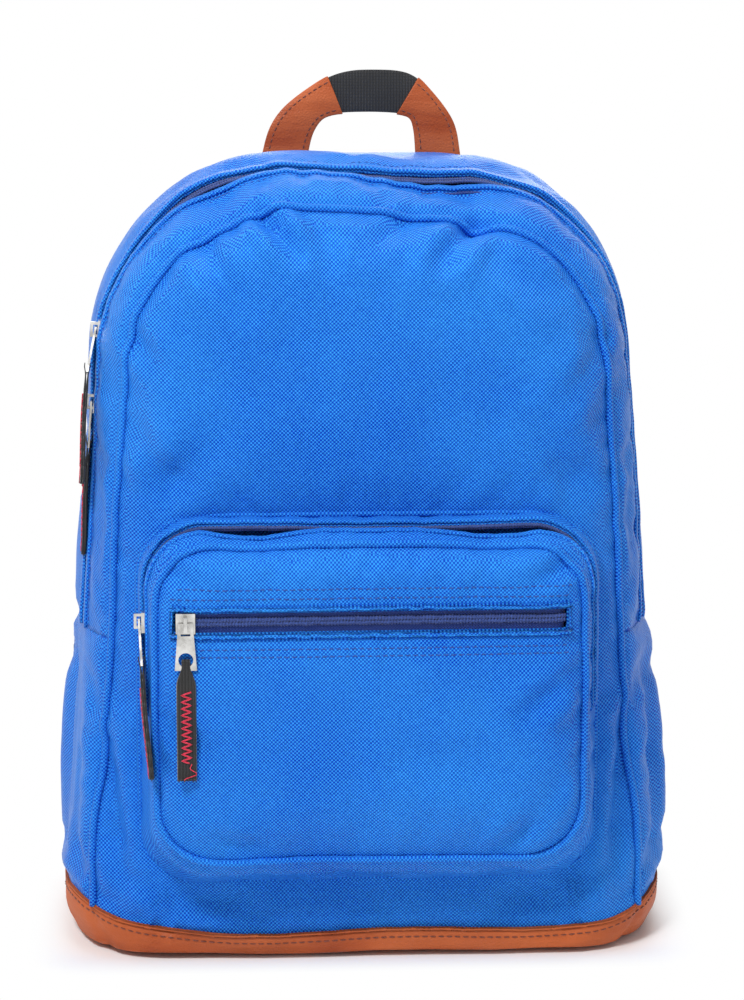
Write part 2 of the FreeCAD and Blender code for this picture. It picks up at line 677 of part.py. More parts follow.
yoke = new_body("strap_yoke")
yoke_outline = box_sketch(yoke, "outline", "XZ_Plane", "-<yoke_width>/2", "<yoke_width>/2",
                          "<body_height>-<yoke_drop>", "<body_height>-<yoke_drop>+<yoke_height>")
pad(yoke, yoke_outline, "<yoke_thickness>", reversed_pad=True)
yoke.Placement = back_place()


def yoke_low():
    """Height of the bottom of the strip that carries the straps."""
    return size("body_height") - size("yoke_drop")


def strap_end_inner():
    """Middle of the back to the strap's lower end."""
    return size("base_width") / 2 - size("strap_end_inset")


def strap_profile(margin):
    """Side view of a shoulder strap: bowed band with a round upper end, moved in by margin."""
    half = size("strap_thickness") / 2 - margin
    top_y = size("back_depth") + GAP + size("strap_thickness") / 2
    top_z = yoke_low() - GAP - size("strap_thickness") / 2
    end_y = size("back_depth") + size("strap_end_offset") + size("strap_thickness") / 2
    end_z = size("strap_end_height") + margin
    bow_y = size("back_depth") + size("strap_bow")
    bow_z = (top_z + end_z) / 2 + size("strap_thickness")
    inner = Part.Arc(Vector(0, top_y - half, top_z), Vector(0, bow_y - half, bow_z),
                     Vector(0, end_y - half, end_z)).toShape()
    outside = Part.Arc(Vector(0, end_y + half, end_z), Vector(0, bow_y + half, bow_z),
                       Vector(0, top_y + half, top_z)).toShape()
    foot = Part.LineSegment(Vector(0, end_y - half, end_z), Vector(0, end_y + half, end_z)).toShape()
    head = Part.Arc(Vector(0, top_y + half, top_z), Vector(0, top_y, top_z + half),
                    Vector(0, top_y - half, top_z)).toShape()
    face_side = Part.Face(Part.Wire([inner, foot, outside, head]))
    return face_side.extrude(Vector(WIDE, 0, 0))


def strap_outline(side, margin):
    """Back view of a shoulder strap, as a solid through the whole depth."""
    top = yoke_low() - margin
    low = size("strap_end_height") + margin
    rows = [
        (side * (size("strap_top_inner") + margin), top),
        (side * (size("strap_top_inner") + size("strap_top_width") - margin), top),
        (side * (strap_end_inner() + size("strap_end_width") - margin), low),
        (side * (strap_end_inner() + margin), low),
    ]
    wire = Part.makePolygon([Vector(x, 0, z) for x, z in rows + rows[:1]])
    return Part.Face(wire).extrude(Vector(0, WIDE, 0))


def strap_solid(side, margin):
    profile = strap_profile(margin)
    if side < 0:
        profile = profile.mirror(Vector(), Vector(1, 0, 0))
    return profile.common(strap_outline(side, margin))


cover_inset = FABRIC
foam_inset = FABRIC + GAP
for side, word in ((-1, "left"), (1, "right")):
    piece(f"shoulder_strap_{word}", strap_solid(side, 0.0).cut(strap_solid(side, cover_inset)))
    piece(f"strap_foam_{word}", strap_solid(side, foam_inset))

# Ladder lock: a frame with one middle bar. Its top bar lies in a webbing loop at the lower end of
# the strap. Its own frame has the strap's middle plane at y = 0 and the top bar's middle at z = 0.


def strap_middle():
    """Middle of the strap's lower end: distance from the bag's middle, and depth."""
    across = strap_end_inner() + size("strap_end_width") / 2
    depth = size("back_depth") + size("strap_end_offset") + size("strap_thickness") / 2
    return across, depth


def bar_height():
    """Height of the lock's top bar."""
    return (size("strap_end_height") - GAP - size("webbing_thickness") - size("lock_play")
            - size("lock_bar") / 2)


def lock_place(side):
    across, depth = strap_middle()
    return Placement(Vector(side * across, depth, bar_height()), Rotation())


def make_lock(label, side):
    """Frame with two windows, hung by its top bar."""
    body = new_body(label)
    frame_outline = box_sketch(body, "frame", "XZ_Plane", "-<lock_width>/2", "<lock_width>/2",
                               "<lock_bar>/2-<lock_height>", "<lock_bar>/2")
    pad(body, frame_outline, "<lock_thickness>", midplane=True)
    window_side = "<lock_width>/2-<lock_bar>"
    slots = (("upper", "-<lock_height>/2+<lock_bar>", "-<lock_bar>/2"),
             ("lower", "<lock_bar>*1.5-<lock_height>", "-<lock_height>/2"))
    for name, low, high in slots:
        slot = box_sketch(body, name, "XZ_Plane", f"-({window_side})", window_side, low, high)
        pocket(body, slot, "4*<lock_thickness>")
    body.Placement = lock_place(side)


def make_lock_loop(label, side):
    """Webbing loop sewn to the strap's end, round the lock's top bar."""
    body = new_body(label)
    inner_y, inner_z = "<lock_thickness>/2+<lock_play>", "<lock_bar>/2+<lock_play>"
    outer_y, outer_z = f"{inner_y}+<webbing_thickness>", f"{inner_z}+<webbing_thickness>"
    outside = box_sketch(body, "outside", "YZ_Plane", f"-({outer_y})", outer_y, f"-({outer_z})", outer_z)
    pad(body, outside, "<webbing_width>", midplane=True)
    inside = box_sketch(body, "inside", "YZ_Plane", f"-({inner_y})", inner_y, f"-({inner_z})", inner_z)
    pocket(body, inside, "2*<webbing_width>")
    body.Placement = lock_place(side)


def make_webbing(label, side):
    """Adjuster: a flat strip from the anchor tab up behind the ladder lock to its middle bar."""
    middle_x, lock_y = strap_middle()
    low_z = size("anchor_low") + size("anchor_height") + GAP
    top_z = bar_height() + size("lock_bar") - size("lock_height") / 2
    knee_z = bar_height() - size("lock_height") - size("lock_bar")
    thick = size("webbing_thickness")
    start_y = size("back_depth") + GAP
    end_y = lock_y - size("lock_thickness") / 2 - GAP - thick
    low_x = middle_x - size("anchor_width") / 4
    profile = [(start_y, low_z), (start_y + thick, low_z), (end_y + thick, knee_z),
               (end_y + thick, top_z), (end_y, top_z), (end_y, knee_z)]
    width = size("webbing_width") / 2
    rows = [(side * (low_x - width), low_z), (side * (low_x + width), low_z),
            (side * (middle_x + width), knee_z), (side * (middle_x + width), top_z),
            (side * (middle_x - width), top_z), (side * (middle_x - width), knee_z)]
    wire = Part.makePolygon([Vector(x, 0, z) for x, z in rows + rows[:1]])
    outline = Part.Face(wire).extrude(Vector(0, WIDE, 0))
    piece(label, side_prism(profile).common(outline))


def make_anchor(label, side):
    """Tapered tab on the back panel beside the side seam; the webbing is sewn to its top."""
    body = new_body(label)
    wide, narrow = "<anchor_width>/2", "<webbing_width>/2"
    outline = polygon_sketch(body, "outline", "XZ_Plane", [
        (f"-{wide}", "<anchor_low>"), (wide, "<anchor_low>"),
        (narrow, "<anchor_low>+<anchor_height>"), (f"-{narrow}", "<anchor_low>+<anchor_height>")])
    pad(body, outline, "<webbing_thickness>", reversed_pad=True)
    middle = strap_middle()[0] - size("anchor_width") / 4
    body.Placement = Placement(Vector(side * middle, size("back_depth") + GAP, 0), Rotation())


for side, word in ((-1, "left"), (1, "right")):
    make_lock(f"ladder_lock_{word}", side)
    make_lock_loop(f"lock_loop_{word}", side)
    make_webbing(f"strap_webbing_{word}", side)
    make_anchor(f"strap_anchor_{word}", side)

# ---------------------------------------------------------------- haul loop
# A ribbon sewn into the back seam. Its feet end in round edges on the hinge line.

loop_radius = size("loop_thickness") / 2 + size("loop_cover")
loop_axis_y = size("back_depth") - loop_radius


def back_top(depth):
    """Height of the bag's top at y = depth, where the back edge rounds in."""
    share = (depth - size("back_depth") + size("back_round_depth")) / size("back_round_depth")
    return size("body_height") - size("back_round_top") * (1 - math.sqrt(1 - share * share))


loop_axis_z = back_top(loop_axis_y - loop_radius) + GAP + loop_radius
inner_half = size("loop_span") / 2
outer_half = inner_half + size("loop_width")
loop_top = loop_axis_z + size("loop_clear_height") + size("loop_width")


def loop_outline(y_low, y_high):
    """Front view of the ribbon between two depths: sloping left leg, upright right leg."""
    clear_top = loop_axis_z + size("loop_clear_height")
    knee = clear_top - size("loop_chamfer") * 2 / 3
    chamfer = size("loop_chamfer")
    slope = size("loop_slope")
    outside = [(-outer_half, loop_axis_z), (-outer_half + slope, knee), (-inner_half, loop_top - chamfer),
               (-inner_half + 2 * chamfer, loop_top), (inner_half, loop_top),
               (outer_half - slope, loop_top - chamfer), (outer_half, knee), (outer_half, loop_axis_z)]
    inside = [(inner_half, loop_axis_z), (inner_half, clear_top), (-inner_half + chamfer, clear_top),
              (-inner_half + slope, knee), (-inner_half, loop_axis_z)]
    rows = outside + inside
    wire = Part.makePolygon([Vector(x, y_low, z) for x, z in rows + rows[:1]])
    return Part.Face(wire).extrude(Vector(0, y_high - y_low, 0))


def loop_feet():
    """Round edges of both legs on the hinge line."""
    feet = [Part.makeCylinder(loop_radius, size("loop_width"), Vector(start, loop_axis_y, loop_axis_z),
                              Vector(1, 0, 0)) for start in (-outer_half, inner_half)]
    return feet[0].fuse(feet[1])


webbing_half = size("loop_thickness") / 2
loop_webbing = loop_outline(loop_axis_y - webbing_half, loop_axis_y + webbing_half).fuse(loop_feet())
piece("haul_loop", loop_webbing.removeSplitter())
cover_low = loop_axis_z + loop_radius
cover_high = loop_axis_z + size("loop_cover_height")
cover_front = loop_outline(loop_axis_y - loop_radius, loop_axis_y - webbing_half)
for side, word in ((-1, "left"), (1, "right")):
    limits = (-WIDE, 0) if side < 0 else (0, WIDE)
    piece(f"haul_loop_cover_{word}", cover_front.common(slab(x=limits, z=(cover_low, cover_high))))

# ---------------------------------------------------------------- check and write

document.recompute()
for item in document.Objects:
    assert not {"Invalid", "Error"} & set(item.State), f"{item.Label}: {item.State}"
for item in PIECES:
    assert not item.Shape.isNull() and item.Shape.isValid(), item.Label
    assert item.Shape.Solids, item.Label
    print(f"{item.Label}: {len(item.Shape.Solids)} solid(s), {item.Shape.Volume / 1000:.2f} cm3")
os.makedirs("parts", exist_ok=True)
for item in PIECES:
    item.Shape.exportStep(f"parts/{item.Label}.step")
print(len(PIECES), "nodes")
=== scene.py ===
import math

import bmesh
import bpy
import numpy as np
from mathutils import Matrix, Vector, kdtree, noise
from mathutils.bvhtree import BVHTree


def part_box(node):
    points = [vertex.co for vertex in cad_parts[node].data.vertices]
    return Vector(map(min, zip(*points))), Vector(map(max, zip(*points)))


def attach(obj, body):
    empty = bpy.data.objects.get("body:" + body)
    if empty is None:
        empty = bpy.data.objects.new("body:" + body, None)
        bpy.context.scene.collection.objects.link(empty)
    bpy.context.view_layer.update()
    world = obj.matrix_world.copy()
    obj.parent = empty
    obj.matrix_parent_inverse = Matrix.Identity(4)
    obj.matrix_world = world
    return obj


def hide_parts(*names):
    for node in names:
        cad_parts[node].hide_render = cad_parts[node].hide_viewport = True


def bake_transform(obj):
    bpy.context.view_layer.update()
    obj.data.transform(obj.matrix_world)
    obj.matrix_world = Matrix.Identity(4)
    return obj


# School backpack. Metres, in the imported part's frame: +Z up, the front panel faces -Y.

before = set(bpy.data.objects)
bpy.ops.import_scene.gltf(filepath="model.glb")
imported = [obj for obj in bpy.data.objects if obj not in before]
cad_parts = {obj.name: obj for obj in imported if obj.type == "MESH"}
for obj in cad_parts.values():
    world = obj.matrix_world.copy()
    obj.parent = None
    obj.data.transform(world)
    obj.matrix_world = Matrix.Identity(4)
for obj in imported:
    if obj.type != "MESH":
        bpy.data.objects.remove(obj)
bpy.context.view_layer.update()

# ---------------------------------------------------------------- driving sizes

BODY_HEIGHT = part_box("rear_gusset")[1][2]
BASE_WIDTH = 0.344
TOP_WIDTH = 0.280
SHOULDER_SHARE = 0.75
BASE_RADIUS = 0.014
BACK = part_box("back_panel")[1][1]
FRONT = -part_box("front_panel_upper")[0][1]
FRONT_ROUND_START = 0.008
FRONT_ROUND = (0.048, 0.050, 0.004)
BACK_ROUND_DEPTH = 0.040
BACK_ROUND = (0.010, 0.003, 0.0)
SEAM_Y = -0.059
ZIP_Y = -0.022
ZIP_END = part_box("rear_gusset")[0][2]
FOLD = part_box("front_panel_upper")[0][2]
LEATHER_FRONT = 0.014
LEATHER_BACK = 0.036

POCKET_WIDTH = 0.262
POCKET_LOW = 0.034
POCKET_TOP = 0.257
POCKET_ROOT = 0.058
POCKET_ZIP = 0.091
POCKET_SEAM = 0.107
POCKET_FRONT = -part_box("organiser_face_lower")[0][1]
POCKET_TAPER = (0.0095, 0.006, 0.022)
POCKET_ROUND = (0.026, 0.030, 0.052)
POCKET_RADII = (0.030, 0.034)
POCKET_ZIP_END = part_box("organiser_hood")[0][2]
POCKET_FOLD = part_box("organiser_face_upper")[0][2]

PIPING = 0.0022
FOLD_STRENGTH = 1.9
FABRIC = 0.0016
SEAM_STEP = 0.004
ZIP_STEP = 0.005
# Stitches: length, pitch and radius of the thread.
SEAM_STITCH = (0.0026, 0.0036, 0.00030)
WINDOW_STITCH = (0.0030, 0.0041, 0.00036)
BAND_STITCH = (0.0034, 0.0046, 0.00042)
LOOP_STITCH = (0.0026, 0.0036, 0.00038)
YOKE_STITCH = (0.0028, 0.0040, 0.00036)
COIL_PITCH = 0.0014
COIL_RADIUS = 0.00095
COIL_CORNERS = 6
COIL_OFFSET = 0.0010
TAPE_THICKNESS = 0.0009
WINDOW_COIL_PITCH = 0.0017
WINDOW_COIL_RADIUS = 0.00125

rng = np.random.default_rng(7)

# ---------------------------------------------------------------- materials


def node(tree, kind, **values):
    item = tree.nodes.new(kind)
    for key, value in values.items():
        setattr(item, key, value)
    return item


def wire(tree, value, socket):
    """Links a socket to a socket, or sets a plain value on it."""
    if isinstance(value, bpy.types.NodeSocket):
        tree.links.new(value, socket)
    else:
        socket.default_value = value


def sum_up(tree, operation, first, second=0.0):
    item = node(tree, "ShaderNodeMath", operation=operation)
    wire(tree, first, item.inputs[0])
    wire(tree, second, item.inputs[1])
    return item.outputs[0]


def mix(tree, share, first, second, blend="MIX"):
    item = node(tree, "ShaderNodeMix", data_type="RGBA", blend_type=blend)
    wire(tree, share, item.inputs[0])
    wire(tree, first, item.inputs[6])
    wire(tree, second, item.inputs[7])
    return item.outputs[2]


def cloudy(tree, scale, detail=3.0, low=0.35, high=0.65, stretch=None):
    """Soft noise from 0 to 1 in object space."""
    place = node(tree, "ShaderNodeTexCoord").outputs["Object"]
    if stretch:
        mapping = node(tree, "ShaderNodeMapping")
        mapping.inputs["Scale"].default_value = stretch
        tree.links.new(place, mapping.inputs["Vector"])
        place = mapping.outputs[0]
    pattern = node(tree, "ShaderNodeTexNoise")
    tree.links.new(place, pattern.inputs["Vector"])
    pattern.inputs["Scale"].default_value = scale
    pattern.inputs["Detail"].default_value = detail
    spread = node(tree, "ShaderNodeMapRange")
    tree.links.new(pattern.outputs[0], spread.inputs[0])
    spread.inputs[1].default_value = low
    spread.inputs[2].default_value = high
    return spread.outputs[0]


def surface_plane(tree):
    """Two coordinates along the surface, by which way it mostly faces."""
    coordinates = node(tree, "ShaderNodeTexCoord")
    place = node(tree, "ShaderNodeSeparateXYZ")
    tree.links.new(coordinates.outputs["Object"], place.inputs[0])
    facing = node(tree, "ShaderNodeSeparateXYZ")
    tree.links.new(coordinates.outputs["Normal"], facing.inputs[0])
    side, depth, rise = (sum_up(tree, "ABSOLUTE", output) for output in facing.outputs)
    sideways = sum_up(tree, "GREATER_THAN", side, sum_up(tree, "MAXIMUM", depth, rise))
    upwards = sum_up(tree, "GREATER_THAN", rise, sum_up(tree, "MAXIMUM", depth, side))
    x, y, z = place.outputs

    def choose(share, first, second):
        kept = sum_up(tree, "MULTIPLY", first, sum_up(tree, "SUBTRACT", 1.0, share))
        return sum_up(tree, "ADD", kept, sum_up(tree, "MULTIPLY", second, share))

    return choose(sideways, x, y), choose(upwards, z, y)


def waves(tree, along, pitch):
    return sum_up(tree, "SINE", sum_up(tree, "MULTIPLY", along, 2 * math.pi / pitch))


def shader(name, roughness, metallic=0.0, specular=0.5, sheen=0.0, coat=0.0):
    material = bpy.data.materials.new(name)
    material.use_nodes = True
    tree = material.node_tree
    surface = tree.nodes["Principled BSDF"]
    surface.inputs["Roughness"].default_value = roughness
    surface.inputs["Metallic"].default_value = metallic
    surface.inputs["Specular IOR Level"].default_value = specular
    surface.inputs["Sheen Weight"].default_value = sheen
    surface.inputs["Coat Weight"].default_value = coat
    return material, tree, surface


def add_bump(tree, surface, heights):
    """Bump from (height, distance, strength) rows, one on another."""
    normal = None
    for height, distance, strength in heights:
        bump = node(tree, "ShaderNodeBump")
        bump.inputs["Distance"].default_value = distance
        bump.inputs["Strength"].default_value = strength
        tree.links.new(height, bump.inputs["Height"])
        if normal is not None:
            tree.links.new(normal, bump.inputs["Normal"])
        normal = bump.outputs[0]
    tree.links.new(normal, surface.inputs["Normal"])


def rough_map(tree, surface, share, low, high):
    spread = node(tree, "ShaderNodeMapRange")
    tree.links.new(share, spread.inputs[0])
    spread.inputs[3].default_value = low
    spread.inputs[4].default_value = high
    tree.links.new(spread.outputs[0], surface.inputs["Roughness"])


def woven(name, dark, light, pitch=0.0024, depth=0.00045, sheen=0.25, rough=(0.42, 0.58), specular=0.45,
          tint=(1.0, 1.0, 1.0)):
    """Plain basket weave with uneven dye, a soft sheen and painted highlights on its raised threads."""
    material, tree, surface = shader(name, rough[0], specular=specular, sheen=sheen)
    surface.inputs["Specular Tint"].default_value = (*tint, 1)
    across, along = surface_plane(tree)
    check = sum_up(tree, "MULTIPLY", waves(tree, across, pitch), waves(tree, along, pitch))
    steep = node(tree, "ShaderNodeMapRange", interpolation_type="SMOOTHSTEP")
    tree.links.new(check, steep.inputs[0])
    steep.inputs[1].default_value = -0.55
    steep.inputs[2].default_value = 0.55
    lift = steep.outputs[0]
    dye = cloudy(tree, 9.0)
    fine = cloudy(tree, 420.0, detail=2.0)
    # Painted highlight: the raised cells of the weave check (lift) take the light colour; the fine noise and
    # the dye add random tone.
    share = sum_up(tree, "ADD", sum_up(tree, "MULTIPLY", lift, 0.74), sum_up(tree, "MULTIPLY", fine, 0.10))
    share = sum_up(tree, "ADD", share, sum_up(tree, "MULTIPLY", dye, 0.16))
    colour = mix(tree, share, (*dark, 1), (*light, 1))
    tree.links.new(colour, surface.inputs["Base Color"])
    rough_map(tree, surface, dye, *rough)
    add_bump(tree, surface, [(lift, depth, 0.7), (cloudy(tree, 24.0, 2.0), 0.0030, 0.22)])
    return material


def leather_material():
    material, tree, surface = shader("leather", 0.5, specular=0.24)
    grain = node(tree, "ShaderNodeTexVoronoi", feature="DISTANCE_TO_EDGE")
    tree.links.new(node(tree, "ShaderNodeTexCoord").outputs["Object"], grain.inputs["Vector"])
    grain.inputs["Scale"].default_value = 560.0
    worn = cloudy(tree, 14.0, 4.0)
    streak = cloudy(tree, 55.0, 3.0, stretch=(0.35, 0.35, 1.6))
    colour = mix(tree, worn, (0.33, 0.056, 0.013, 1), (0.54, 0.118, 0.030, 1))
    colour = mix(tree, sum_up(tree, "MULTIPLY", streak, 0.35), colour, (0.64, 0.175, 0.060, 1))
    tree.links.new(colour, surface.inputs["Base Color"])
    rough_map(tree, surface, worn, 0.40, 0.62)
    add_bump(tree, surface, [(grain.outputs[0], 0.0006, 0.5), (streak, 0.0012, 0.3)])
    return material


def webbing_material(name, dark, light, pitch=0.0017):
    """Ribbed webbing: fine ribs one way, a tighter weave the other."""
    material, tree, surface = shader(name, 0.7, specular=0.35, sheen=0.3)
    across, along = surface_plane(tree)
    ribs = sum_up(tree, "ABSOLUTE", waves(tree, across, pitch * 2))
    picks = sum_up(tree, "ABSOLUTE", waves(tree, along, pitch))
    weave = sum_up(tree, "MULTIPLY", ribs, sum_up(tree, "ADD", sum_up(tree, "MULTIPLY", picks, 0.5), 0.5))
    colour = mix(tree, weave, (*dark, 1), (*light, 1))
    tree.links.new(colour, surface.inputs["Base Color"])
    rough_map(tree, surface, cloudy(tree, 40.0), 0.6, 0.8)
    add_bump(tree, surface, [(weave, 0.0006, 0.8)])
    return material


def metal_material():
    material, tree, surface = shader("nickel", 0.22, metallic=1.0)
    worn = cloudy(tree, 160.0, 4.0)
    colour = mix(tree, worn, (0.50, 0.49, 0.47, 1), (0.80, 0.79, 0.77, 1))
    tree.links.new(colour, surface.inputs["Base Color"])
    rough_map(tree, surface, worn, 0.18, 0.38)
    scratches = cloudy(tree, 700.0, 2.0, stretch=(1.0, 1.0, 0.12))
    add_bump(tree, surface, [(scratches, 0.0001, 0.4)])
    return material


def plastic_material():
    material, tree, surface = shader("black_plastic", 0.45, specular=0.5)
    speckle = cloudy(tree, 900.0, 2.0)
    colour = mix(tree, cloudy(tree, 70.0), (0.010, 0.010, 0.011, 1), (0.028, 0.028, 0.030, 1))
    tree.links.new(colour, surface.inputs["Base Color"])
    rough_map(tree, surface, cloudy(tree, 90.0), 0.38, 0.55)
    add_bump(tree, surface, [(speckle, 0.0002, 0.35)])
    return material


def thread_material(name, dark, light):
    material, tree, surface = shader(name, 0.6, specular=0.4, sheen=0.3)
    twist = cloudy(tree, 1500.0, 2.0)
    tree.links.new(mix(tree, twist, (*dark, 1), (*light, 1)), surface.inputs["Base Color"])
    add_bump(tree, surface, [(twist, 0.0002, 0.6)])
    return material


# In each woven fabric the second colour is the painted highlight of the raised threads.
BLUE = woven("blue_fabric", (0.0, 0.018, 0.46), (0.046, 0.37, 1.0), pitch=0.0021, depth=0.0007, sheen=0.0,
             rough=(0.32, 0.44), specular=0.42, tint=(0.02, 0.34, 1.0))
LINING = woven("lining_fabric", (0.004, 0.012, 0.05), (0.012, 0.035, 0.12), pitch=0.002)
TAPE = woven("zip_tape", (0.004, 0.020, 0.15), (0.010, 0.055, 0.33), pitch=0.0016)
COIL = thread_material("coil", (0.010, 0.026, 0.13), (0.035, 0.085, 0.34))
LEATHER = leather_material()
WEBBING = webbing_material("webbing", (0.003, 0.003, 0.003), (0.022, 0.022, 0.023))
NICKEL = metal_material()
PLASTIC = plastic_material()
BLUE_THREAD = thread_material("blue_thread", (0.002, 0.035, 0.26), (0.006, 0.10, 0.50))
DARK_THREAD = thread_material("dark_thread", (0.10, 0.018, 0.008), (0.22, 0.045, 0.018))
RED_THREAD = thread_material("red_thread", (0.45, 0.006, 0.030), (0.80, 0.020, 0.075))
BLACK_THREAD = thread_material("black_thread", (0.004, 0.004, 0.005), (0.03, 0.03, 0.03))

# ---------------------------------------------------------------- mesh helpers


def dress(item, body, slot, *nodes):
    """The body that a piece rides on, if it has one, its material slot and the nodes it replaces."""
    if body:
        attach(item, body)
    if nodes:
        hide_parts(*nodes)


def make_object(name, mesh, material):
    item = bpy.data.objects.new(name, mesh)
    bpy.context.scene.collection.objects.link(item)
    if material is not None:
        mesh.materials.append(material)
    for face in mesh.polygons:
        face.use_smooth = True
    return item


def mesh_from(name, points, faces):
    mesh = bpy.data.meshes.new(name)
    mesh.from_pydata([tuple(point) for point in points], [], faces)
    mesh.update()
    return mesh


def grid_faces(rows, columns, closed=False, start=0):
    """Quads of a grid of rows x columns points, whose columns may close into a ring."""
    faces = []
    last = columns if closed else columns - 1
    for row in range(rows - 1):
        for column in range(last):
            across = (column + 1) % columns
            faces.append((start + row * columns + column, start + row * columns + across,
                          start + (row + 1) * columns + across, start + (row + 1) * columns + column))
    return faces


def unit(vectors):
    vectors = np.asarray(vectors, float)
    return vectors / np.maximum(np.linalg.norm(vectors, axis=-1, keepdims=True), 1e-12)


def sweep_frames(path, up):
    """Side and up vectors along a path; up is one vector or one at each point."""
    path = np.asarray(path, float)
    tangent = unit(np.gradient(path, axis=0))
    up = np.broadcast_to(np.asarray(up, float), path.shape)
    side = unit(np.cross(tangent, up))
    return side, np.cross(side, tangent)


def sweep(name, path, section, up, material, closed=False, scale=None):
    """Sweeps a closed (side, up) section along a path and caps its open ends."""
    path = np.asarray(path, float)
    side, high = sweep_frames(path, up)
    section = np.asarray(section, float)
    sizes = np.ones(len(path)) if scale is None else np.asarray(scale, float)
    rings = (path[:, None] + side[:, None] * section[None, :, :1] * sizes[:, None, None]
             + high[:, None] * section[None, :, 1:] * sizes[:, None, None])
    rows, count = len(path), len(section)
    faces = grid_faces(rows, count, closed=True)
    if closed:
        faces += [((rows - 1) * count + i, (rows - 1) * count + (i + 1) % count, (i + 1) % count, i)
                  for i in range(count)]
    else:
        faces += [tuple(range(count))[::-1], tuple((rows - 1) * count + i for i in range(count))]
    item = make_object(name, mesh_from(name, rings.reshape(-1, 3), faces), material)
    recalculate(item)
    return item


def circle_section(radius, count=8, squash=1.0):
    turns = np.arange(count) * 2 * math.pi / count
    return np.stack([np.cos(turns) * radius, np.sin(turns) * radius * squash], axis=1)


def flat_section(width, thick, lip=0.0):
    """Flat strip with soft edges; lip raises both edges a little."""
    half, t = width / 2, thick / 2
    return [(-half, 0), (-half + t, t + lip), (-half / 2, t), (0, t), (half / 2, t), (half - t, t + lip),
            (half, 0), (half - t, -t), (0, -t), (-half + t, -t)]


def recalculate(item):
    work = bmesh.new()
    work.from_mesh(item.data)
    bmesh.ops.recalc_face_normals(work, faces=work.faces)
    work.to_mesh(item.data)
    work.free()
    item.data.update()


def joined(name, items):
    """One object from several; the materials stay."""
    points, faces, slots, materials = [], [], [], []
    for item in items:
        start = len(points)
        points += [item.matrix_world @ vertex.co for vertex in item.data.vertices]
        for material in item.data.materials:
            if material not in materials:
                materials.append(material)
        for face in item.data.polygons:
            faces.append([start + index for index in face.vertices])
            slots.append(materials.index(item.data.materials[face.material_index]))
    mesh = mesh_from(name, points, faces)
    for material in materials:
        mesh.materials.append(material)
    mesh.polygons.foreach_set("material_index", slots)
    for item in items:
        bpy.data.objects.remove(item)
    result = bpy.data.objects.new(name, mesh)
    bpy.context.scene.collection.objects.link(result)
    for face in mesh.polygons:
        face.use_smooth = True
    return result


def stitches(name, path, outward, length, pitch, radius, material):
    """Short raised threads one after another along a path on a surface."""
    path = np.asarray(path, float)
    outward = np.broadcast_to(np.asarray(outward, float), path.shape)
    steps = np.linalg.norm(np.diff(path, axis=0), axis=1)
    along = np.concatenate([[0], np.cumsum(steps)])
    starts = np.arange(pitch * 0.3, along[-1] - length, pitch)
    points, faces = [], []
    shape = np.array([(-0.5, 0.25), (-0.32, 0.85), (0.0, 1.0), (0.32, 0.85), (0.5, 0.25)])
    turns = np.arange(6) * math.pi / 3
    for start in starts:
        at = start + length / 2
        middle = np.array([np.interp(at, along, path[:, k]) for k in range(3)])
        ahead = np.array([np.interp(at + length / 2, along, path[:, k]) for k in range(3)])
        up = unit(np.array([np.interp(at, along, outward[:, k]) for k in range(3)]))
        direction = unit(ahead - middle)
        side = np.cross(direction, up)
        base = len(points)
        for share, girth in shape:
            centre = middle + direction * share * length + up * (radius * 0.5 * girth)
            for turn in turns:
                points.append(centre + (side * math.cos(turn) + up * math.sin(turn)) * radius * girth)
        faces += grid_faces(len(shape), 6, closed=True, start=base)
        faces += [tuple(base + i for i in range(6))[::-1], tuple(base + 24 + i for i in range(6))]
    return make_object(name, mesh_from(name, points, faces), material)


# ---------------------------------------------------------------- outlines


def fillet(before, corner, after, radius, count):
    before, corner, after = (np.asarray(p, float) for p in (before, corner, after))
    first, second = unit(before - corner), unit(after - corner)
    half = math.acos(float(first @ second)) / 2
    reach = radius / math.tan(half)
    centre = corner + unit(first + second) * radius / math.sin(half)
    start, end = corner + first * reach - centre, corner + second * reach - centre
    turn = math.pi - 2 * half
    shares = np.linspace(0, 1, count)[:, None]
    return centre + (np.sin((1 - shares) * turn) * start + np.sin(shares * turn) * end) / math.sin(turn)


def outline(low_half, high_half, low, high, radii, counts):
    """Closed (x, z) outline from the middle of the bottom round by the right, with even steps."""
    bottom, corner, side, shoulder, top = counts
    low_corner, high_corner = (low_half, low), (high_half, high)
    first = fillet((0, low), low_corner, high_corner, radii[0], corner)
    second = fillet(low_corner, high_corner, (0, high), radii[1], shoulder)

    def run(start, end, count):
        return np.linspace(start, end, count + 2)[1:-1]

    right = np.concatenate([
        [(0, low)], run((0, low), first[0], bottom), first, run(first[-1], second[0], side), second,
        run(second[-1], (0, high), top), [(0, high)]])
    left = right[1:-1][::-1] * (-1, 1)
    return np.concatenate([right, left])


BAG_COUNTS = (30, 9, 64, 38, 12)
POCKET_COUNTS = (26, 10, 34, 12, 24)


def bag_insets(y):
    """Insets (side, top, base) of the bag at a depth."""
    if y < -FRONT_ROUND_START:
        share = min(1.0, (-y - FRONT_ROUND_START) / (FRONT - FRONT_ROUND_START))
        table = FRONT_ROUND
    else:
        share = min(1.0, max(0.0, (y - BACK + BACK_ROUND_DEPTH) / BACK_ROUND_DEPTH))
        table = BACK_ROUND
    round_in = 1 - math.sqrt(1 - share * share)
    return [value * round_in for value in table]


def bag_half_width(height):
    return (BASE_WIDTH - (BASE_WIDTH - TOP_WIDTH) * height / BODY_HEIGHT) / 2


def bag_ring(y, skin=0.0):
    side, top, base = (inset + skin for inset in bag_insets(y))
    high = BODY_HEIGHT - top
    shoulder = SHOULDER_SHARE * (TOP_WIDTH / 2 - side)
    flat = outline(bag_half_width(base) - side, bag_half_width(high) - side, base, high,
                   (BASE_RADIUS, shoulder), BAG_COUNTS)
    return np.stack([flat[:, 0], np.full(len(flat), y), flat[:, 1]], axis=1)


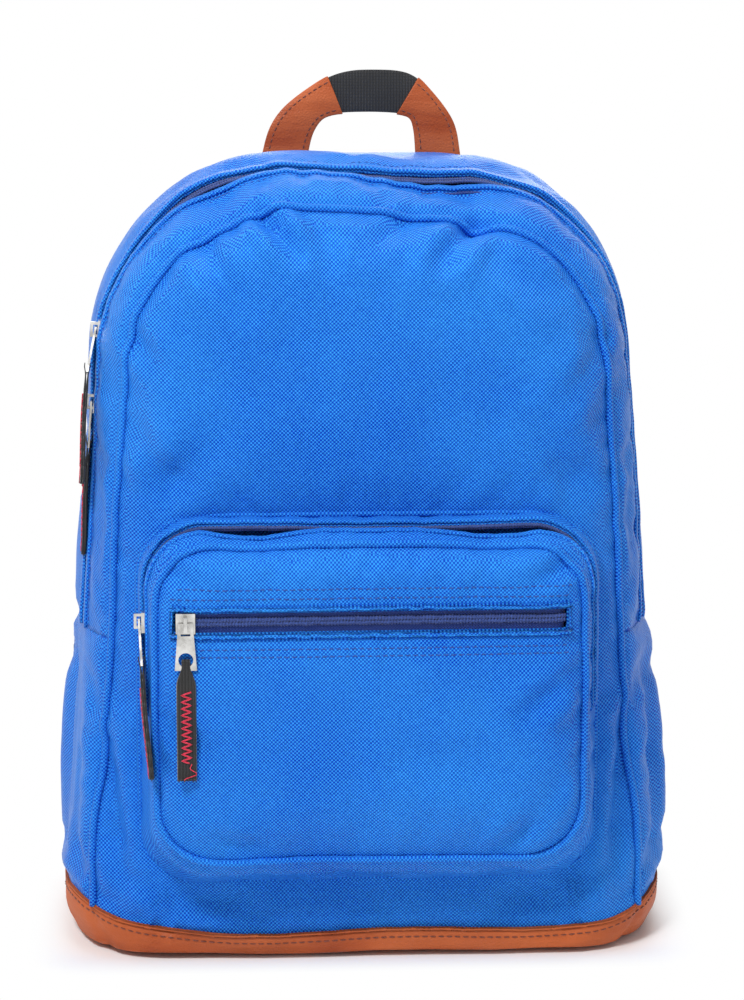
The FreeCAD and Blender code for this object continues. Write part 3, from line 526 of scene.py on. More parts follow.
def pocket_ring(depth, skin=0.0):
    if depth < POCKET_ZIP:
        share = (depth - POCKET_ROOT) / (POCKET_ZIP - POCKET_ROOT)
        side, top, base = (value * share for value in POCKET_TAPER)
    else:
        share = min(1.0, (depth - POCKET_ZIP) / (POCKET_FRONT - POCKET_ZIP))
        round_in = 1 - math.sqrt(1 - share * share)
        side, top, base = (a + b * round_in for a, b in zip(POCKET_TAPER, POCKET_ROUND))
    half = POCKET_WIDTH / 2 - side - skin
    flat = outline(half, half, POCKET_LOW + base + skin, POCKET_TOP - top - skin, POCKET_RADII, POCKET_COUNTS)
    return np.stack([flat[:, 0], np.full(len(flat), -depth), flat[:, 1]], axis=1)


def ring_normals(ring_at, depth, step=0.0006):
    """Outward normals of a lofted surface along one of its rings."""
    ring = ring_at(depth)
    along = np.roll(ring, -1, axis=0) - np.roll(ring, 1, axis=0)
    across = ring_at(depth + step) - ring_at(depth - step)
    normals = unit(np.cross(along, across))
    centre = ring.mean(axis=0)
    away = ring - centre
    away[:, 1] = 0
    flip = np.sign((normals * away).sum(axis=1))
    flip[flip == 0] = 1
    return normals * flip[:, None]


# ---------------------------------------------------------------- how the fabric gives


def bell(distance, width):
    return np.exp(-(distance / width) ** 2)


def crease(points, start, end, width, depth):
    """Height of a soft fold along a line: a groove with a raised lip at each side."""
    start, end = np.array(start), np.array(end)
    run = end - start
    share = np.clip(((points - start) @ run) / (run @ run), 0, 1)
    distance = np.linalg.norm(points - start - share[:, None] * run, axis=1)
    fade = 0.35 + 0.65 * np.sin(np.pi * np.clip(share, 0.02, 0.98)) ** 0.7
    return (bell(distance - 1.9 * width, width) * 0.5 - bell(distance, width)) * depth * FOLD_STRENGTH * fade


def unevenness(points, scale, offset):
    return np.array([noise.noise(Vector(p) / scale + Vector((offset, 0.7 * offset, 0))) for p in points])


def run_cloth(item, held, pressure, frames, **stiffness):
    """Rest points of a closed mesh and their moves under inner pressure, held where held() says."""
    rest = np.array([vertex.co for vertex in item.data.vertices])
    group = item.vertex_groups.new(name="held")
    for index, weight in enumerate(held(rest)):
        group.add([index], float(weight), "REPLACE")
    cloth = item.modifiers.new("cloth", "CLOTH")
    settings = cloth.settings
    settings.quality = 4
    for key, value in stiffness.items():
        setattr(settings, key, value)
    settings.use_pressure = True
    settings.uniform_pressure_force = pressure
    settings.effector_weights.gravity = 0
    settings.vertex_group_mass = "held"
    scene = bpy.context.scene
    for step in range(1, frames + 1):
        scene.frame_set(step)
    blown = item.evaluated_get(bpy.context.evaluated_depsgraph_get()).to_mesh()
    moved = np.array([vertex.co for vertex in blown.vertices])
    item.modifiers.remove(cloth)
    item.vertex_groups.clear()
    scene.frame_set(1)
    return rest, moved - rest


def capped(moves, cap):
    length = np.linalg.norm(moves, axis=1, keepdims=True)
    return moves * (cap * np.tanh(length / cap) / np.maximum(length, 1e-9))


def voxel_mesh(item, voxel):
    """Gives an object an even closed mesh."""
    remesh = item.modifiers.new("remesh", "REMESH")
    remesh.mode = "VOXEL"
    remesh.voxel_size = voxel
    mesh = bpy.data.meshes.new_from_object(item.evaluated_get(bpy.context.evaluated_depsgraph_get()))
    item.modifiers.clear()
    item.data = mesh
    return mesh


def inflate(name, points, faces, held, voxel, cap):
    """Blows a closed form up as cloth and gives the cage's rest points and their moves."""
    item = make_object(name, mesh_from(name, points, faces), None)
    recalculate(item)
    voxel_mesh(item, voxel)
    rest, moves = run_cloth(item, held, pressure=4.0, frames=20, mass=0.3, tension_stiffness=12,
                            compression_stiffness=6, shear_stiffness=4, bending_stiffness=0.4,
                            shrink_min=-0.035)
    bpy.data.objects.remove(item)
    return rest, capped(moves, cap)


class Give:
    """How a form's fabric moves from its plain shape: the cage's move, folds and slow unevenness."""

    def __init__(self, cage, folds, places, slack, calm, rise=None):
        self.folds, self.places, self.slack, self.calm, self.rise = folds, places, slack, calm, rise
        self.tree = None
        if cage is not None:
            rest, self.moves = cage
            self.tree = kdtree.KDTree(len(rest))
            for index, point in enumerate(rest):
                self.tree.insert(point, index)
            self.tree.balance()

    def cage_moves(self, points):
        result = np.zeros((len(points), 3))
        if self.tree is None:
            return result
        for row, point in enumerate(points):
            near = self.tree.find_n(point, 6)
            weights = np.array([1 / (distance * distance + 4e-6) for _, _, distance in near])
            moves = self.moves[[index for _, index, _ in near]]
            result[row] = (moves * weights[:, None]).sum(0) / weights.sum()
        return result

    def __call__(self, points, normals):
        points, normals = np.asarray(points, float), np.asarray(normals, float)
        height = unevenness(points, 0.075, 3.0) * self.slack
        height = height + unevenness(points, 0.024, 9.0) * self.slack * 0.22
        for fold in self.folds:
            height = height + crease(points, *fold)
        for place in self.places:
            height = height + place(points)
        kept = 1 - self.calm(points)
        moved = points + (self.cage_moves(points) + normals * height[:, None]) * kept[:, None]
        if self.rise is not None:
            moved[:, 2] += self.rise(points)
        return moved


def near_plane(points, axis, value, width):
    return bell(points[:, axis] - value, width)


def leather_line(y):
    return LEATHER_FRONT + (LEATHER_BACK - LEATHER_FRONT) * (y + FRONT) / (FRONT + BACK)


BAG_DEPTHS = np.concatenate([
    BACK - BACK_ROUND_DEPTH * (1 - np.sin(np.linspace(math.pi / 2, 0, 12))),
    np.linspace(BACK - BACK_ROUND_DEPTH, SEAM_Y, 34)[1:],
    -(FRONT_ROUND_START + (FRONT - FRONT_ROUND_START) * np.sin(np.linspace(
        math.asin((-SEAM_Y - FRONT_ROUND_START) / (FRONT - FRONT_ROUND_START)), math.pi / 2, 12)))[1:]])
BAG_CENTRE = np.array([0, -FRONT, 0.235])


def whole_bag():
    """Points and faces of the closed bag, front and back closed by shrinking rings."""
    rings = [bag_ring(y) for y in BAG_DEPTHS]
    back_centre = np.array([0, BACK, 0.215])
    first = [back_centre + (rings[0] - back_centre) * share for share in np.linspace(0.02, 1, 16)[:-1]]
    last = [BAG_CENTRE + (rings[-1] - BAG_CENTRE) * share for share in np.linspace(1, 0.02, 26)[1:]]
    rings = first + rings + last
    count = len(rings[0])
    faces = grid_faces(len(rings), count, closed=True)
    faces += [tuple(range(count)), tuple((len(rings) - 1) * count + i for i in range(count))]
    return np.concatenate(rings), faces


def whole_pocket():
    depths = np.concatenate([
        np.linspace(POCKET_ROOT, POCKET_ZIP, 12),
        POCKET_ZIP + (POCKET_FRONT - POCKET_ZIP) * np.sin(np.linspace(0, math.pi / 2, 16))[1:]])
    rings = [pocket_ring(depth) for depth in depths]
    centre = np.array([0, -POCKET_FRONT, 0.155])
    rings += [centre + (rings[-1] - centre) * share for share in np.linspace(1, 0.02, 22)[1:]]
    count = len(rings[0])
    faces = grid_faces(len(rings), count, closed=True)
    faces += [tuple(range(count)), tuple((len(rings) - 1) * count + i for i in range(count))]
    return np.concatenate(rings), faces


def bag_held(points):
    """How firmly seams, floor, back and the strip under the pocket hold the bag's fabric."""
    x, y, z = points.T
    held = near_plane(points, 1, SEAM_Y, 0.005)
    zip_hold = (bell(y - ZIP_Y, 0.010)) * (z > ZIP_END - 0.01)
    held = np.maximum(held, zip_hold)
    held = np.maximum(held, bell(z - leather_line(y), 0.008))
    held = np.maximum(held, (z < 0.012) | (y > BACK - 0.008))
    held = np.maximum(held, bell(z - ZIP_END, 0.004) * (y > SEAM_Y) * 0.7)
    under_pocket = (y < SEAM_Y) & (np.abs(x) < POCKET_WIDTH / 2) & (z < POCKET_TOP) & (z > POCKET_LOW)
    return np.clip(np.maximum(held, under_pocket), 0, 1)


def pocket_held(points):
    x, y, z = points.T
    held = np.maximum(near_plane(points, 1, -POCKET_SEAM, 0.004), y > -POCKET_ROOT - 0.020)
    held = np.maximum(held, bell(y + POCKET_ZIP, 0.009) * (z > POCKET_ZIP_END - 0.01))
    window = (y < -POCKET_SEAM) & (np.abs(z - WINDOW_Z) < 0.012) & (np.abs(x) < WINDOW_HALF)
    return np.clip(np.maximum(held, window * 0.8), 0, 1)


window_low, window_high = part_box("front_zip")
WINDOW_HALF = window_high[0] + 0.0003
WINDOW_Z = (window_low[2] + window_high[2]) / 2
WINDOW_RISE = (window_high[2] - window_low[2]) / 2 + 0.0003

BAG_FOLDS = [
    ((-0.062, -0.060, 0.424), (-0.038, -0.076, 0.396), 0.0050, 0.0038),
    ((-0.094, -0.064, 0.408), (-0.066, -0.076, 0.366), 0.0070, 0.0026),
    ((0.064, -0.060, 0.418), (0.040, -0.076, 0.392), 0.0060, 0.0036),
    ((0.024, -0.062, 0.420), (0.004, -0.076, 0.400), 0.0060, 0.0018),
    ((-0.122, -0.062, 0.300), (-0.104, -0.074, 0.272), 0.0070, 0.0022),
    ((-0.126, -0.060, 0.350), (-0.112, -0.070, 0.335), 0.0060, 0.0020),
    ((0.126, -0.060, 0.345), (0.106, -0.072, 0.318), 0.0070, 0.0020),
    ((-0.165, -0.030, 0.140), (-0.168, -0.044, 0.040), 0.0080, 0.0030),
    ((-0.160, 0.000, 0.165), (-0.168, -0.006, 0.060), 0.0110, 0.0034),
    ((0.165, -0.028, 0.150), (0.168, -0.040, 0.045), 0.0080, 0.0030),
    ((0.162, 0.004, 0.160), (0.168, 0.010, 0.055), 0.0110, 0.0034),
    ((-0.146, -0.062, 0.120), (-0.138, -0.072, 0.045), 0.0070, 0.0030),
    ((0.146, -0.062, 0.130), (0.140, -0.072, 0.045), 0.0070, 0.0030),
    ((-0.150, -0.045, 0.300), (-0.155, -0.050, 0.210), 0.0060, 0.0018),
    ((0.150, -0.045, 0.300), (0.155, -0.050, 0.210), 0.0060, 0.0018),
    ((-0.105, 0.010, 0.408), (-0.060, -0.010, 0.428), 0.0100, 0.0022),
    ((0.110, 0.020, 0.402), (0.075, -0.008, 0.424), 0.0100, 0.0024),
    ((-0.020, 0.030, 0.431), (0.040, 0.010, 0.431), 0.0120, 0.0018),
    ((0.098, -0.070, 0.372), (0.062, -0.076, 0.398), 0.0080, 0.0020),
    ((-0.118, -0.068, 0.255), (-0.080, -0.076, 0.300), 0.0100, 0.0022),
    ((0.118, -0.068, 0.265), (0.096, -0.075, 0.300), 0.0090, 0.0020),
    ((-0.130, -0.068, 0.045), (-0.060, -0.076, 0.024), 0.0070, 0.0024),
    ((0.128, -0.068, 0.045), (0.070, -0.076, 0.024), 0.0070, 0.0020),
]
POCKET_FOLDS = [
    ((-0.112, -0.112, 0.232), (-0.090, -0.118, 0.222), 0.0045, 0.0020),
    ((0.112, -0.110, 0.236), (0.088, -0.118, 0.224), 0.0050, 0.0026),
    ((-0.108, -0.112, 0.150), (-0.086, -0.118, 0.130), 0.0060, 0.0016),
    ((0.106, -0.112, 0.172), (0.082, -0.118, 0.150), 0.0060, 0.0020),
    ((-0.060, -0.116, 0.072), (-0.085, -0.112, 0.082), 0.0060, 0.0018),
    ((0.090, -0.112, 0.090), (0.070, -0.116, 0.074), 0.0060, 0.0020),
    ((0.020, -0.118, 0.130), (0.060, -0.118, 0.120), 0.0100, 0.0010),
]


def seam_pinch(points):
    """Fabric dips towards its seams."""
    _, y, z = points.T
    front = bell(y - SEAM_Y, 0.0035)
    base = bell(z - leather_line(y) - 0.002, 0.003) * 0.5
    back = bell(y - BACK + 0.004, 0.004) * 0.5
    ends = bell(z - ZIP_END, 0.002) * (y > SEAM_Y) * 0.6
    return -0.0016 * np.maximum.reduce([front, base, back, ends])


def top_sag(points):
    """The zipped edge hangs a little at the right of the top, which opens the zip's gap there."""
    x, y, z = points.T
    flap = np.clip((ZIP_Y - y) / 0.010, 0, 1)
    forward = np.clip((y + FRONT + 0.004) / (FRONT + SEAM_Y), 0, 1)
    top = np.clip((z - 0.385) / 0.030, 0, 1)
    dip = 0.0085 * bell(x - 0.064, 0.015) * np.clip((ZIP_Y - y) / (ZIP_Y - SEAM_Y), 0, 1)
    slack = 0.0085 * bell(x - 0.042, 0.036) + 0.0065 * bell(x + 0.080, 0.018)
    hood = 0.0035 * bell(x - 0.040, 0.050) * bell(y - ZIP_Y, 0.016)
    return -top * (flap * forward * (dip + slack) + hood)


def band_rise(points):
    """The leather band climbs towards the corners of the front, more at the left."""
    x, y, z = points.T
    corner = np.clip((np.abs(x) - 0.05) / 0.115, 0, 1) ** 2 * np.where(x < 0, 0.0105, 0.0075)
    wave = 0.0012 * np.sin(x * 34 + 0.6)
    forward = np.clip((0.02 - y) / 0.06, 0, 1)
    return (corner + wave) * forward * bell(z - leather_line(y), 0.016) * (z > 0.004)


def front_puff(points):
    x, y, z = points.T
    rise = np.clip((z - POCKET_TOP) / (BODY_HEIGHT - POCKET_TOP), 0, 1)
    crown = np.sin(np.pi * rise) * np.clip(1 - (x / 0.125) ** 2, 0, 1)
    return crown * (y < SEAM_Y - 0.006) * 0.0030


def pocket_pinch(points):
    _, y, z = points.T
    seam = bell(y + POCKET_SEAM, 0.0030)
    ends = bell(z - POCKET_ZIP_END, 0.002) * (y > -POCKET_SEAM) * 0.6
    return -0.0013 * np.maximum(seam, ends)


def pocket_sag(points):
    """The zipped edge of the pocket hangs clear of its hood in two places."""
    x, y, z = points.T
    top = np.clip((z - 0.225) / 0.012, 0, 1) * (y < -POCKET_ZIP)
    forward = np.clip((y + POCKET_SEAM + 0.008) / 0.010, 0, 1)
    return -top * forward * (0.0056 * bell(x + 0.064, 0.024) + 0.0056 * bell(x - 0.072, 0.028))


def ramp(value, low, high):
    return np.clip((value - low) / (high - low), 0, 1)


def bag_calm(points):
    """Where the fabric lies flat: under the left pulls' path and under the haul loop."""
    x, y, z = points.T
    pulls = bell(y - ZIP_Y, 0.016) * (x < 0) * ramp(z, 0.035, 0.075) * ramp(z, 0.310, 0.280)
    loop = ramp(np.abs(x), 0.090, 0.068) * ramp(y, 0.012, 0.034) * ramp(z, 0.38, 0.41)
    return np.maximum(pulls, loop) * 0.97


def pocket_calm(points):
    """The pocket's gusset lies flat beside its pull."""
    x, y, z = points.T
    near_zip = bell(y + POCKET_ZIP + 0.002, 0.016) * (x < 0)
    return near_zip * ramp(z, 0.060, 0.085) * ramp(z, 0.215, 0.195) * 0.97


blow = inflate
bag_points, bag_faces = whole_bag()
pocket_points, pocket_faces = whole_pocket()
bag_cage = blow("bag_cage", bag_points, bag_faces, bag_held, 0.0075, 0.0065)
pocket_cage = blow("pocket_cage", pocket_points, pocket_faces, pocket_held, 0.0055, 0.0045)
bag_give = Give(bag_cage, BAG_FOLDS, [seam_pinch, top_sag, front_puff], 0.0020, bag_calm, band_rise)
pocket_give = Give(pocket_cage, POCKET_FOLDS, [pocket_pinch, pocket_sag], 0.0014, pocket_calm)

# ---------------------------------------------------------------- panels cut from the forms


def cut_form(name, points, faces, planes, give, material, thickness=FABRIC, raise_by=0.0, hole=None):
    """The part of a closed form inside the planes (point, outward normal), softened, as a sheet."""
    work = bmesh.new()
    rows = [work.verts.new(point) for point in points]
    for face in faces:
        work.faces.new([rows[index] for index in face])
    bmesh.ops.recalc_face_normals(work, faces=work.faces)
    work.normal_update()
    layer = work.verts.layers.float_vector.new("outward")
    for vertex in work.verts:
        vertex[layer] = vertex.normal
    for point, normal in planes:
        geometry = work.verts[:] + work.edges[:] + work.faces[:]
        bmesh.ops.bisect_plane(work, geom=geometry, plane_co=point, plane_no=normal, clear_outer=True)
    if hole is not None:
        hole_low, hole_high = hole
        for axis in (0, 2):
            for bound in (hole_low, hole_high):
                normal = [0, 0, 0]
                normal[axis] = 1
                geometry = work.verts[:] + work.edges[:] + work.faces[:]
                bmesh.ops.bisect_plane(work, geom=geometry, plane_co=bound, plane_no=normal)
        inside = [face for face in work.faces if all(
            hole_low[axis] < face.calc_center_median()[axis] < hole_high[axis] for axis in (0, 2))]
        bmesh.ops.delete(work, geom=inside, context="FACES")
    bmesh.ops.remove_doubles(work, verts=work.verts, dist=0.00015)
    normals = unit([vertex[layer] for vertex in work.verts])
    placed = give([vertex.co for vertex in work.verts], normals) + normals * raise_by
    for vertex, point in zip(work.verts, placed):
        vertex.co = point
    for face in [face for face in work.faces if len(face.verts) > 4]:
        face.smooth = True
    mesh = bpy.data.meshes.new(name)
    work.to_mesh(mesh)
    work.free()
    item = make_object(name, mesh, material)
    shell = item.modifiers.new("fabric", "SOLIDIFY")
    shell.thickness = thickness
    shell.offset = -1
    return item


def keep_below(axis, value):
    point, normal = [0, 0, 0], [0, 0, 0]
    point[axis], normal[axis] = value, 1
    return point, normal


def keep_above(axis, value):
    point, normal = keep_below(axis, value)
    return point, [-n for n in normal]


slope = (LEATHER_BACK - LEATHER_FRONT) / (FRONT + BACK)
leather_point = (0, -FRONT, LEATHER_FRONT)
leather_up = tuple(unit([0, -slope, 1]))
leather_down = tuple(-value for value in leather_up)
above_leather = (leather_point, leather_down)
below_leather = (leather_point, leather_up)
X, Y, Z = 0, 1, 2
HOOD_EDGE = ZIP_Y + 0.0035
STRIP_EDGE = ZIP_Y - 0.0045


def bag_piece(name, planes, material, **options):
    return cut_form(name, bag_points, bag_faces, planes, bag_give, material, **options)


def across_fold(item, low_body="root", high_body="main_flap", height=None, spread=0.020):
    """Bakes the piece's place into its mesh; it does not bend the piece over the fold line."""
    height = FOLD if height is None else height
    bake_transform(item)


def bag_body():
    base = bag_piece("base_band", [below_leather], LEATHER, thickness=0.0022, raise_by=0.0006)
    dress(base, "root", "leather", "leather_base")

    rear = bag_piece("rear_hood", [above_leather, keep_above(Y, HOOD_EDGE), keep_below(Y, BACK - 0.0025),
                                   keep_above(Z, ZIP_END)], BLUE)
    dress(rear, "root", "blue_fabric", "rear_gusset")

    for side, word in ((-1, "left"), (1, "right")):
        middle = keep_below(X, 0.0) if side < 0 else keep_above(X, 0.0)
        panel = bag_piece(f"side_{word}", [above_leather, keep_above(Y, SEAM_Y), keep_below(Y, BACK - 0.0025),
                                           keep_below(Z, ZIP_END), middle], BLUE)
        dress(panel, "root", "blue_fabric", f"side_panel_{word}")

    kept = [keep_above(Y, SEAM_Y), keep_below(Y, STRIP_EDGE), keep_above(Z, ZIP_END)]
    strip = bag_piece("zip_flap_edge", kept, BLUE)
    across_fold(strip)
    dress(strip, None, "blue_fabric", "front_gusset", "front_gusset_end_left", "front_gusset_end_right")

    front = bag_piece("front_panel", [above_leather, keep_below(Y, SEAM_Y)], BLUE)
    across_fold(front)
    dress(front, None, "blue_fabric", "front_panel_lower", "front_panel_upper")

    back = bag_piece("padded_back", [above_leather, keep_above(Y, BACK - 0.0025)], BLUE)
    dress(back, "root", "blue_fabric", "back_panel")


def ring_run(ring_at, depth, low, give, raise_by=0.0):
    """Softened points and normals of the part of a ring above a height, from right to left over the top."""
    ring = ring_at(depth)
    normals = ring_normals(ring_at, depth)
    limit = low(depth) if callable(low) else low
    kept = ring[:, 2] >= limit
    ring, normals = ring[kept], normals[kept]
    ends = []
    for row in (0, -1):
        end = ring[row].copy()
        end[2] = limit
        ends.append(end)
    ring = np.concatenate([[ends[0]], ring, [ends[1]]])
    normals = np.concatenate([normals[:1], normals, normals[-1:]])
    return give(ring, normals) + normals * raise_by, normals


def refine(path, normals, step):
    """The same path with even steps."""
    lengths = np.linalg.norm(np.diff(path, axis=0), axis=1)
    along = np.concatenate([[0], np.cumsum(lengths)])
    places = np.linspace(0, along[-1], max(2, int(along[-1] / step)))
    fine = np.stack([np.interp(places, along, path[:, k]) for k in range(3)], axis=1)
    up = np.stack([np.interp(places, along, normals[:, k]) for k in range(3)], axis=1)
    return fine, unit(up)


def edge_run(*place, step=SEAM_STEP):
    """A ring run with even steps."""
    return refine(*ring_run(*place), step)


def coil(name, path, normals, pitch, radius, corners, half):
    """Half of a zip's coil: a thin cord with one bead for each tooth."""
    fine, up = refine(path, normals, pitch / 4)
    beads = 1 + 0.32 * np.cos(np.arange(len(fine)) * math.pi / 2 + math.pi * (half > 0))
    return sweep(name, fine, circle_section(radius, corners), up, COIL, scale=beads)


def ride_on(body):
    return lambda item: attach(item, body)


def zip_halves(word, ring_at, middle, end, give, tape, halves):
    """Both tapes of a zip, each with its coil.

    tape: offset, lift and width of a tape, and the lift of its coil.
    halves: side of the middle, name, how the half moves and the nodes that it replaces.
    """
    offset, tape_lift, width, coil_lift = tape
    for half, side, move, nodes in halves:
        run, up = edge_run(ring_at, middle + half * offset, end, give, tape_lift, step=ZIP_STEP)
        band = sweep(f"{word}_tape_{side}", run, flat_section(width, TAPE_THICKNESS), up, TAPE)
        run, up = ring_run(ring_at, middle + half * COIL_OFFSET, end, give, coil_lift)
        cord = coil(f"{word}_coil_{side}", run, up, COIL_PITCH, COIL_RADIUS, COIL_CORNERS, half)
        for item in (band, cord):
            move(item)
        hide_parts(*nodes)


def bag_seams():
    path, up = edge_run(bag_ring, SEAM_Y, leather_line, bag_give, PIPING * 0.5)
    pipe = sweep("front_piping", path, circle_section(PIPING, 8), up, BLUE)
    across_fold(pipe)
    dress(pipe, None, "blue_fabric", "front_piping_left", "front_piping_right", "front_piping_upper")
    on_root = ride_on("root")
    welts = [
        ("hood_welt", HOOD_EDGE + 0.0025, 0.0008, 0.0075, 0.0028, on_root),
        ("flap_welt", STRIP_EDGE - 0.0015, 0.0004, 0.0050, 0.0022, across_fold)]
    for name, depth, lift, width, thick, move in welts:
        path, up = edge_run(bag_ring, depth, ZIP_END, bag_give, lift)
        welt = sweep(name, path, flat_section(width, thick), up, BLUE)
        move(welt)
    rows = [("hood_stitches", HOOD_EDGE + 0.0085, on_root),
            ("flap_stitches", STRIP_EDGE - 0.0060, across_fold)]
    for name, depth, move in rows:
        row = stitches(name, *ring_run(bag_ring, depth, ZIP_END, bag_give), *SEAM_STITCH, BLUE_THREAD)
        move(row)
    zip_halves("main", bag_ring, ZIP_Y, ZIP_END, bag_give, (0.0048, -0.0030, 0.0088, -0.0018), [
        (1, "rear", on_root, ["main_zip_rear"]),
        (-1, "front", across_fold, ["main_zip_front", "main_zip_end_left", "main_zip_end_right"])])


def rim(item, keep):
    """Ordered open or closed runs of a sheet's free edge where keep(point) holds."""
    mesh = item.data
    used = {}
    for face in mesh.polygons:
        for key in face.edge_keys:
            used[key] = used.get(key, 0) + 1
    links = {}
    for (first, second), count in used.items():
        if count == 1 and keep(mesh.vertices[first].co) and keep(mesh.vertices[second].co):
            links.setdefault(first, []).append(second)
            links.setdefault(second, []).append(first)
    runs, seen = [], set()
    for start in sorted(links, key=lambda index: len(links[index])):
        if start in seen:
            continue
        run, current = [], start
        while current is not None:
            seen.add(current)
            run.append(current)
            current = next((index for index in links[current] if index not in seen), None)
        if len(run) > 3:
            points = np.array([mesh.vertices[index].co for index in run])
            normals = np.array([mesh.vertices[index].normal for index in run])
            runs.append((points, unit(normals), len(links[start]) > 1))
    return runs


def surface_tree(item):
    work = bmesh.new()
    work.from_mesh(item.data)
    tree = BVHTree.FromBMesh(work)
    work.free()
    return tree


def settle(tree, points):
    """The nearest places on a surface, with its normals."""
    placed, normals = [], []
    for point in points:
        place, normal, _, _ = tree.find_nearest(Vector(point))
        placed.append(place)
        normals.append(normal)
    return np.array(placed), unit(np.array(normals))


def leather_seams():
    """A folded edge and a row of stitches round the top of the leather band."""
    base = bpy.data.objects["base_band"]
    tree = surface_tree(base)
    for index, (path, normals, closed) in enumerate(rim(base, lambda p: p.z > 0.008)):
        if closed:
            path, normals = np.concatenate([path, path[:1]]), np.concatenate([normals, normals[:1]])
        path, normals = refine(path, normals, 0.004)
        centre, facing = path[:-1] - normals[:-1] * 0.0003, normals[:-1]
        section = flat_section(0.0030, 0.0024)
        edge = sweep(f"band_edge_{index}", centre, section, facing, LEATHER, closed=closed)
        lower, outward = settle(tree, path - np.array([0, 0, 0.0042]))
        row = stitches(f"band_stitches_{index}", lower, outward, *BAND_STITCH, DARK_THREAD)
        for item in (edge, row):
            dress(item, "root", "leather")


# ---------------------------------------------------------------- organiser pocket

POCKET_HOOD_EDGE = -POCKET_ZIP + 0.0020
POCKET_STRIP_EDGE = -POCKET_ZIP - 0.0045


def pocket_depth(y):
    return pocket_ring(-y)


def pocket_piece(name, planes, material, **options):
    return cut_form(name, pocket_points, pocket_faces, planes, pocket_give, material, **options)


def over_pocket_fold(item):
    across_fold(item, "root", "organiser_flap", POCKET_FOLD, 0.012)


def pocket_body():
    hood = pocket_piece("pocket_hood", [keep_above(Y, POCKET_HOOD_EDGE), keep_above(Z, POCKET_ZIP_END)], BLUE)
    dress(hood, "root", "blue_fabric", "organiser_hood")

    lower = pocket_piece("pocket_gusset", [keep_above(Y, -POCKET_SEAM), keep_below(Z, POCKET_ZIP_END)], BLUE)
    dress(lower, "root", "blue_fabric", "organiser_gusset_lower")

    strip = pocket_piece("pocket_flap_edge", [
        keep_above(Y, -POCKET_SEAM), keep_below(Y, POCKET_STRIP_EDGE), keep_above(Z, POCKET_ZIP_END)], BLUE)
    dress(strip, "organiser_flap", "blue_fabric", "organiser_front_gusset")

    hole = ((-WINDOW_HALF, 0, WINDOW_Z - WINDOW_RISE), (WINDOW_HALF, 0, WINDOW_Z + WINDOW_RISE))
    face = pocket_piece("pocket_face", [keep_below(Y, -POCKET_SEAM)], BLUE, hole=hole)
    over_pocket_fold(face)
    dress(face, None, "blue_fabric", "organiser_face_lower", "organiser_face_upper")


def closed_ring(ring_at, depth, give, raise_by=0.0, step=0.004):
    ring = ring_at(depth)
    normals = ring_normals(ring_at, depth)
    path = give(ring, normals) + normals * raise_by
    path, normals = refine(np.concatenate([path, path[:1]]), np.concatenate([normals, normals[:1]]), step)
    return path[:-1], normals[:-1]


def pocket_seams():
    path, up = closed_ring(pocket_depth, -POCKET_SEAM, pocket_give, PIPING * 0.6)
    pipe = sweep("pocket_piping", path, circle_section(PIPING * 1.05, 8), up, BLUE, closed=True)
    over_pocket_fold(pipe)
    dress(pipe, None, "blue_fabric", "organiser_piping_lower", "organiser_piping_upper")
    welts = [
        ("pocket_hood_welt", POCKET_HOOD_EDGE + 0.0025, 0.0012, 0.0065, 0.0026, "root"),
        ("pocket_flap_welt", POCKET_STRIP_EDGE - 0.0012, 0.0002, 0.0040, 0.0020, "organiser_flap")]
    for name, depth, lift, width, thick, body in welts:
        path, up = edge_run(pocket_depth, depth, POCKET_ZIP_END, pocket_give, lift)
        dress(sweep(name, path, flat_section(width, thick), up, BLUE), body, "blue_fabric")
    path, up = ring_run(pocket_depth, POCKET_HOOD_EDGE + 0.0075, POCKET_ZIP_END, pocket_give)
    dress(stitches("pocket_hood_stitches", path, up, *SEAM_STITCH, BLUE_THREAD), "root", "blue_fabric")
    path, up = edge_run(pocket_depth, -POCKET_ROOT - 0.0185, POCKET_LOW + 0.02, unmoved, 0.0004)
    dress(sweep("pocket_root_seam", path, circle_section(0.0016, 6), up, BLUE), "root", "blue_fabric")
    zip_halves("pocket", pocket_depth, -POCKET_ZIP, POCKET_ZIP_END, pocket_give,
               (0.0040, -0.0028, 0.0075, -0.0016), [
                   (1, "rear", ride_on("root"), ["organiser_zip_rear"]),
                   (-1, "front", ride_on("organiser_flap"), ["organiser_zip_front"])])


def unmoved(points, _):
    return np.asarray(points, float)


def pocket_surface():
    """The softened pocket as a surface to lay things on."""
    whole = make_object("drape_form", mesh_from("drape_form", pocket_points, pocket_faces), None)
    recalculate(whole)
    normals = np.array([vertex.normal for vertex in whole.data.vertices])
    for vertex, point in zip(whole.data.vertices, pocket_give(pocket_points, normals)):
        vertex.co = point
    tree = surface_tree(whole)
    bpy.data.objects.remove(whole)
    return tree


def drape(tree, x_low, x_high, height, lift=0.0, step=0.003):
    """A level run across the pocket's face, with its normals."""
    points, normals = [], []
    for x in np.linspace(x_low, x_high, max(3, int((x_high - x_low) / step))):
        place, normal, _, _ = tree.ray_cast(Vector((x, -0.3, height)), Vector((0, 1, 0)))
        if place is not None:
            points.append(place)
            normals.append(-normal if normal.y > 0 else normal)
    normals = unit(np.array(normals))
    return np.array(points) + normals * lift, normals


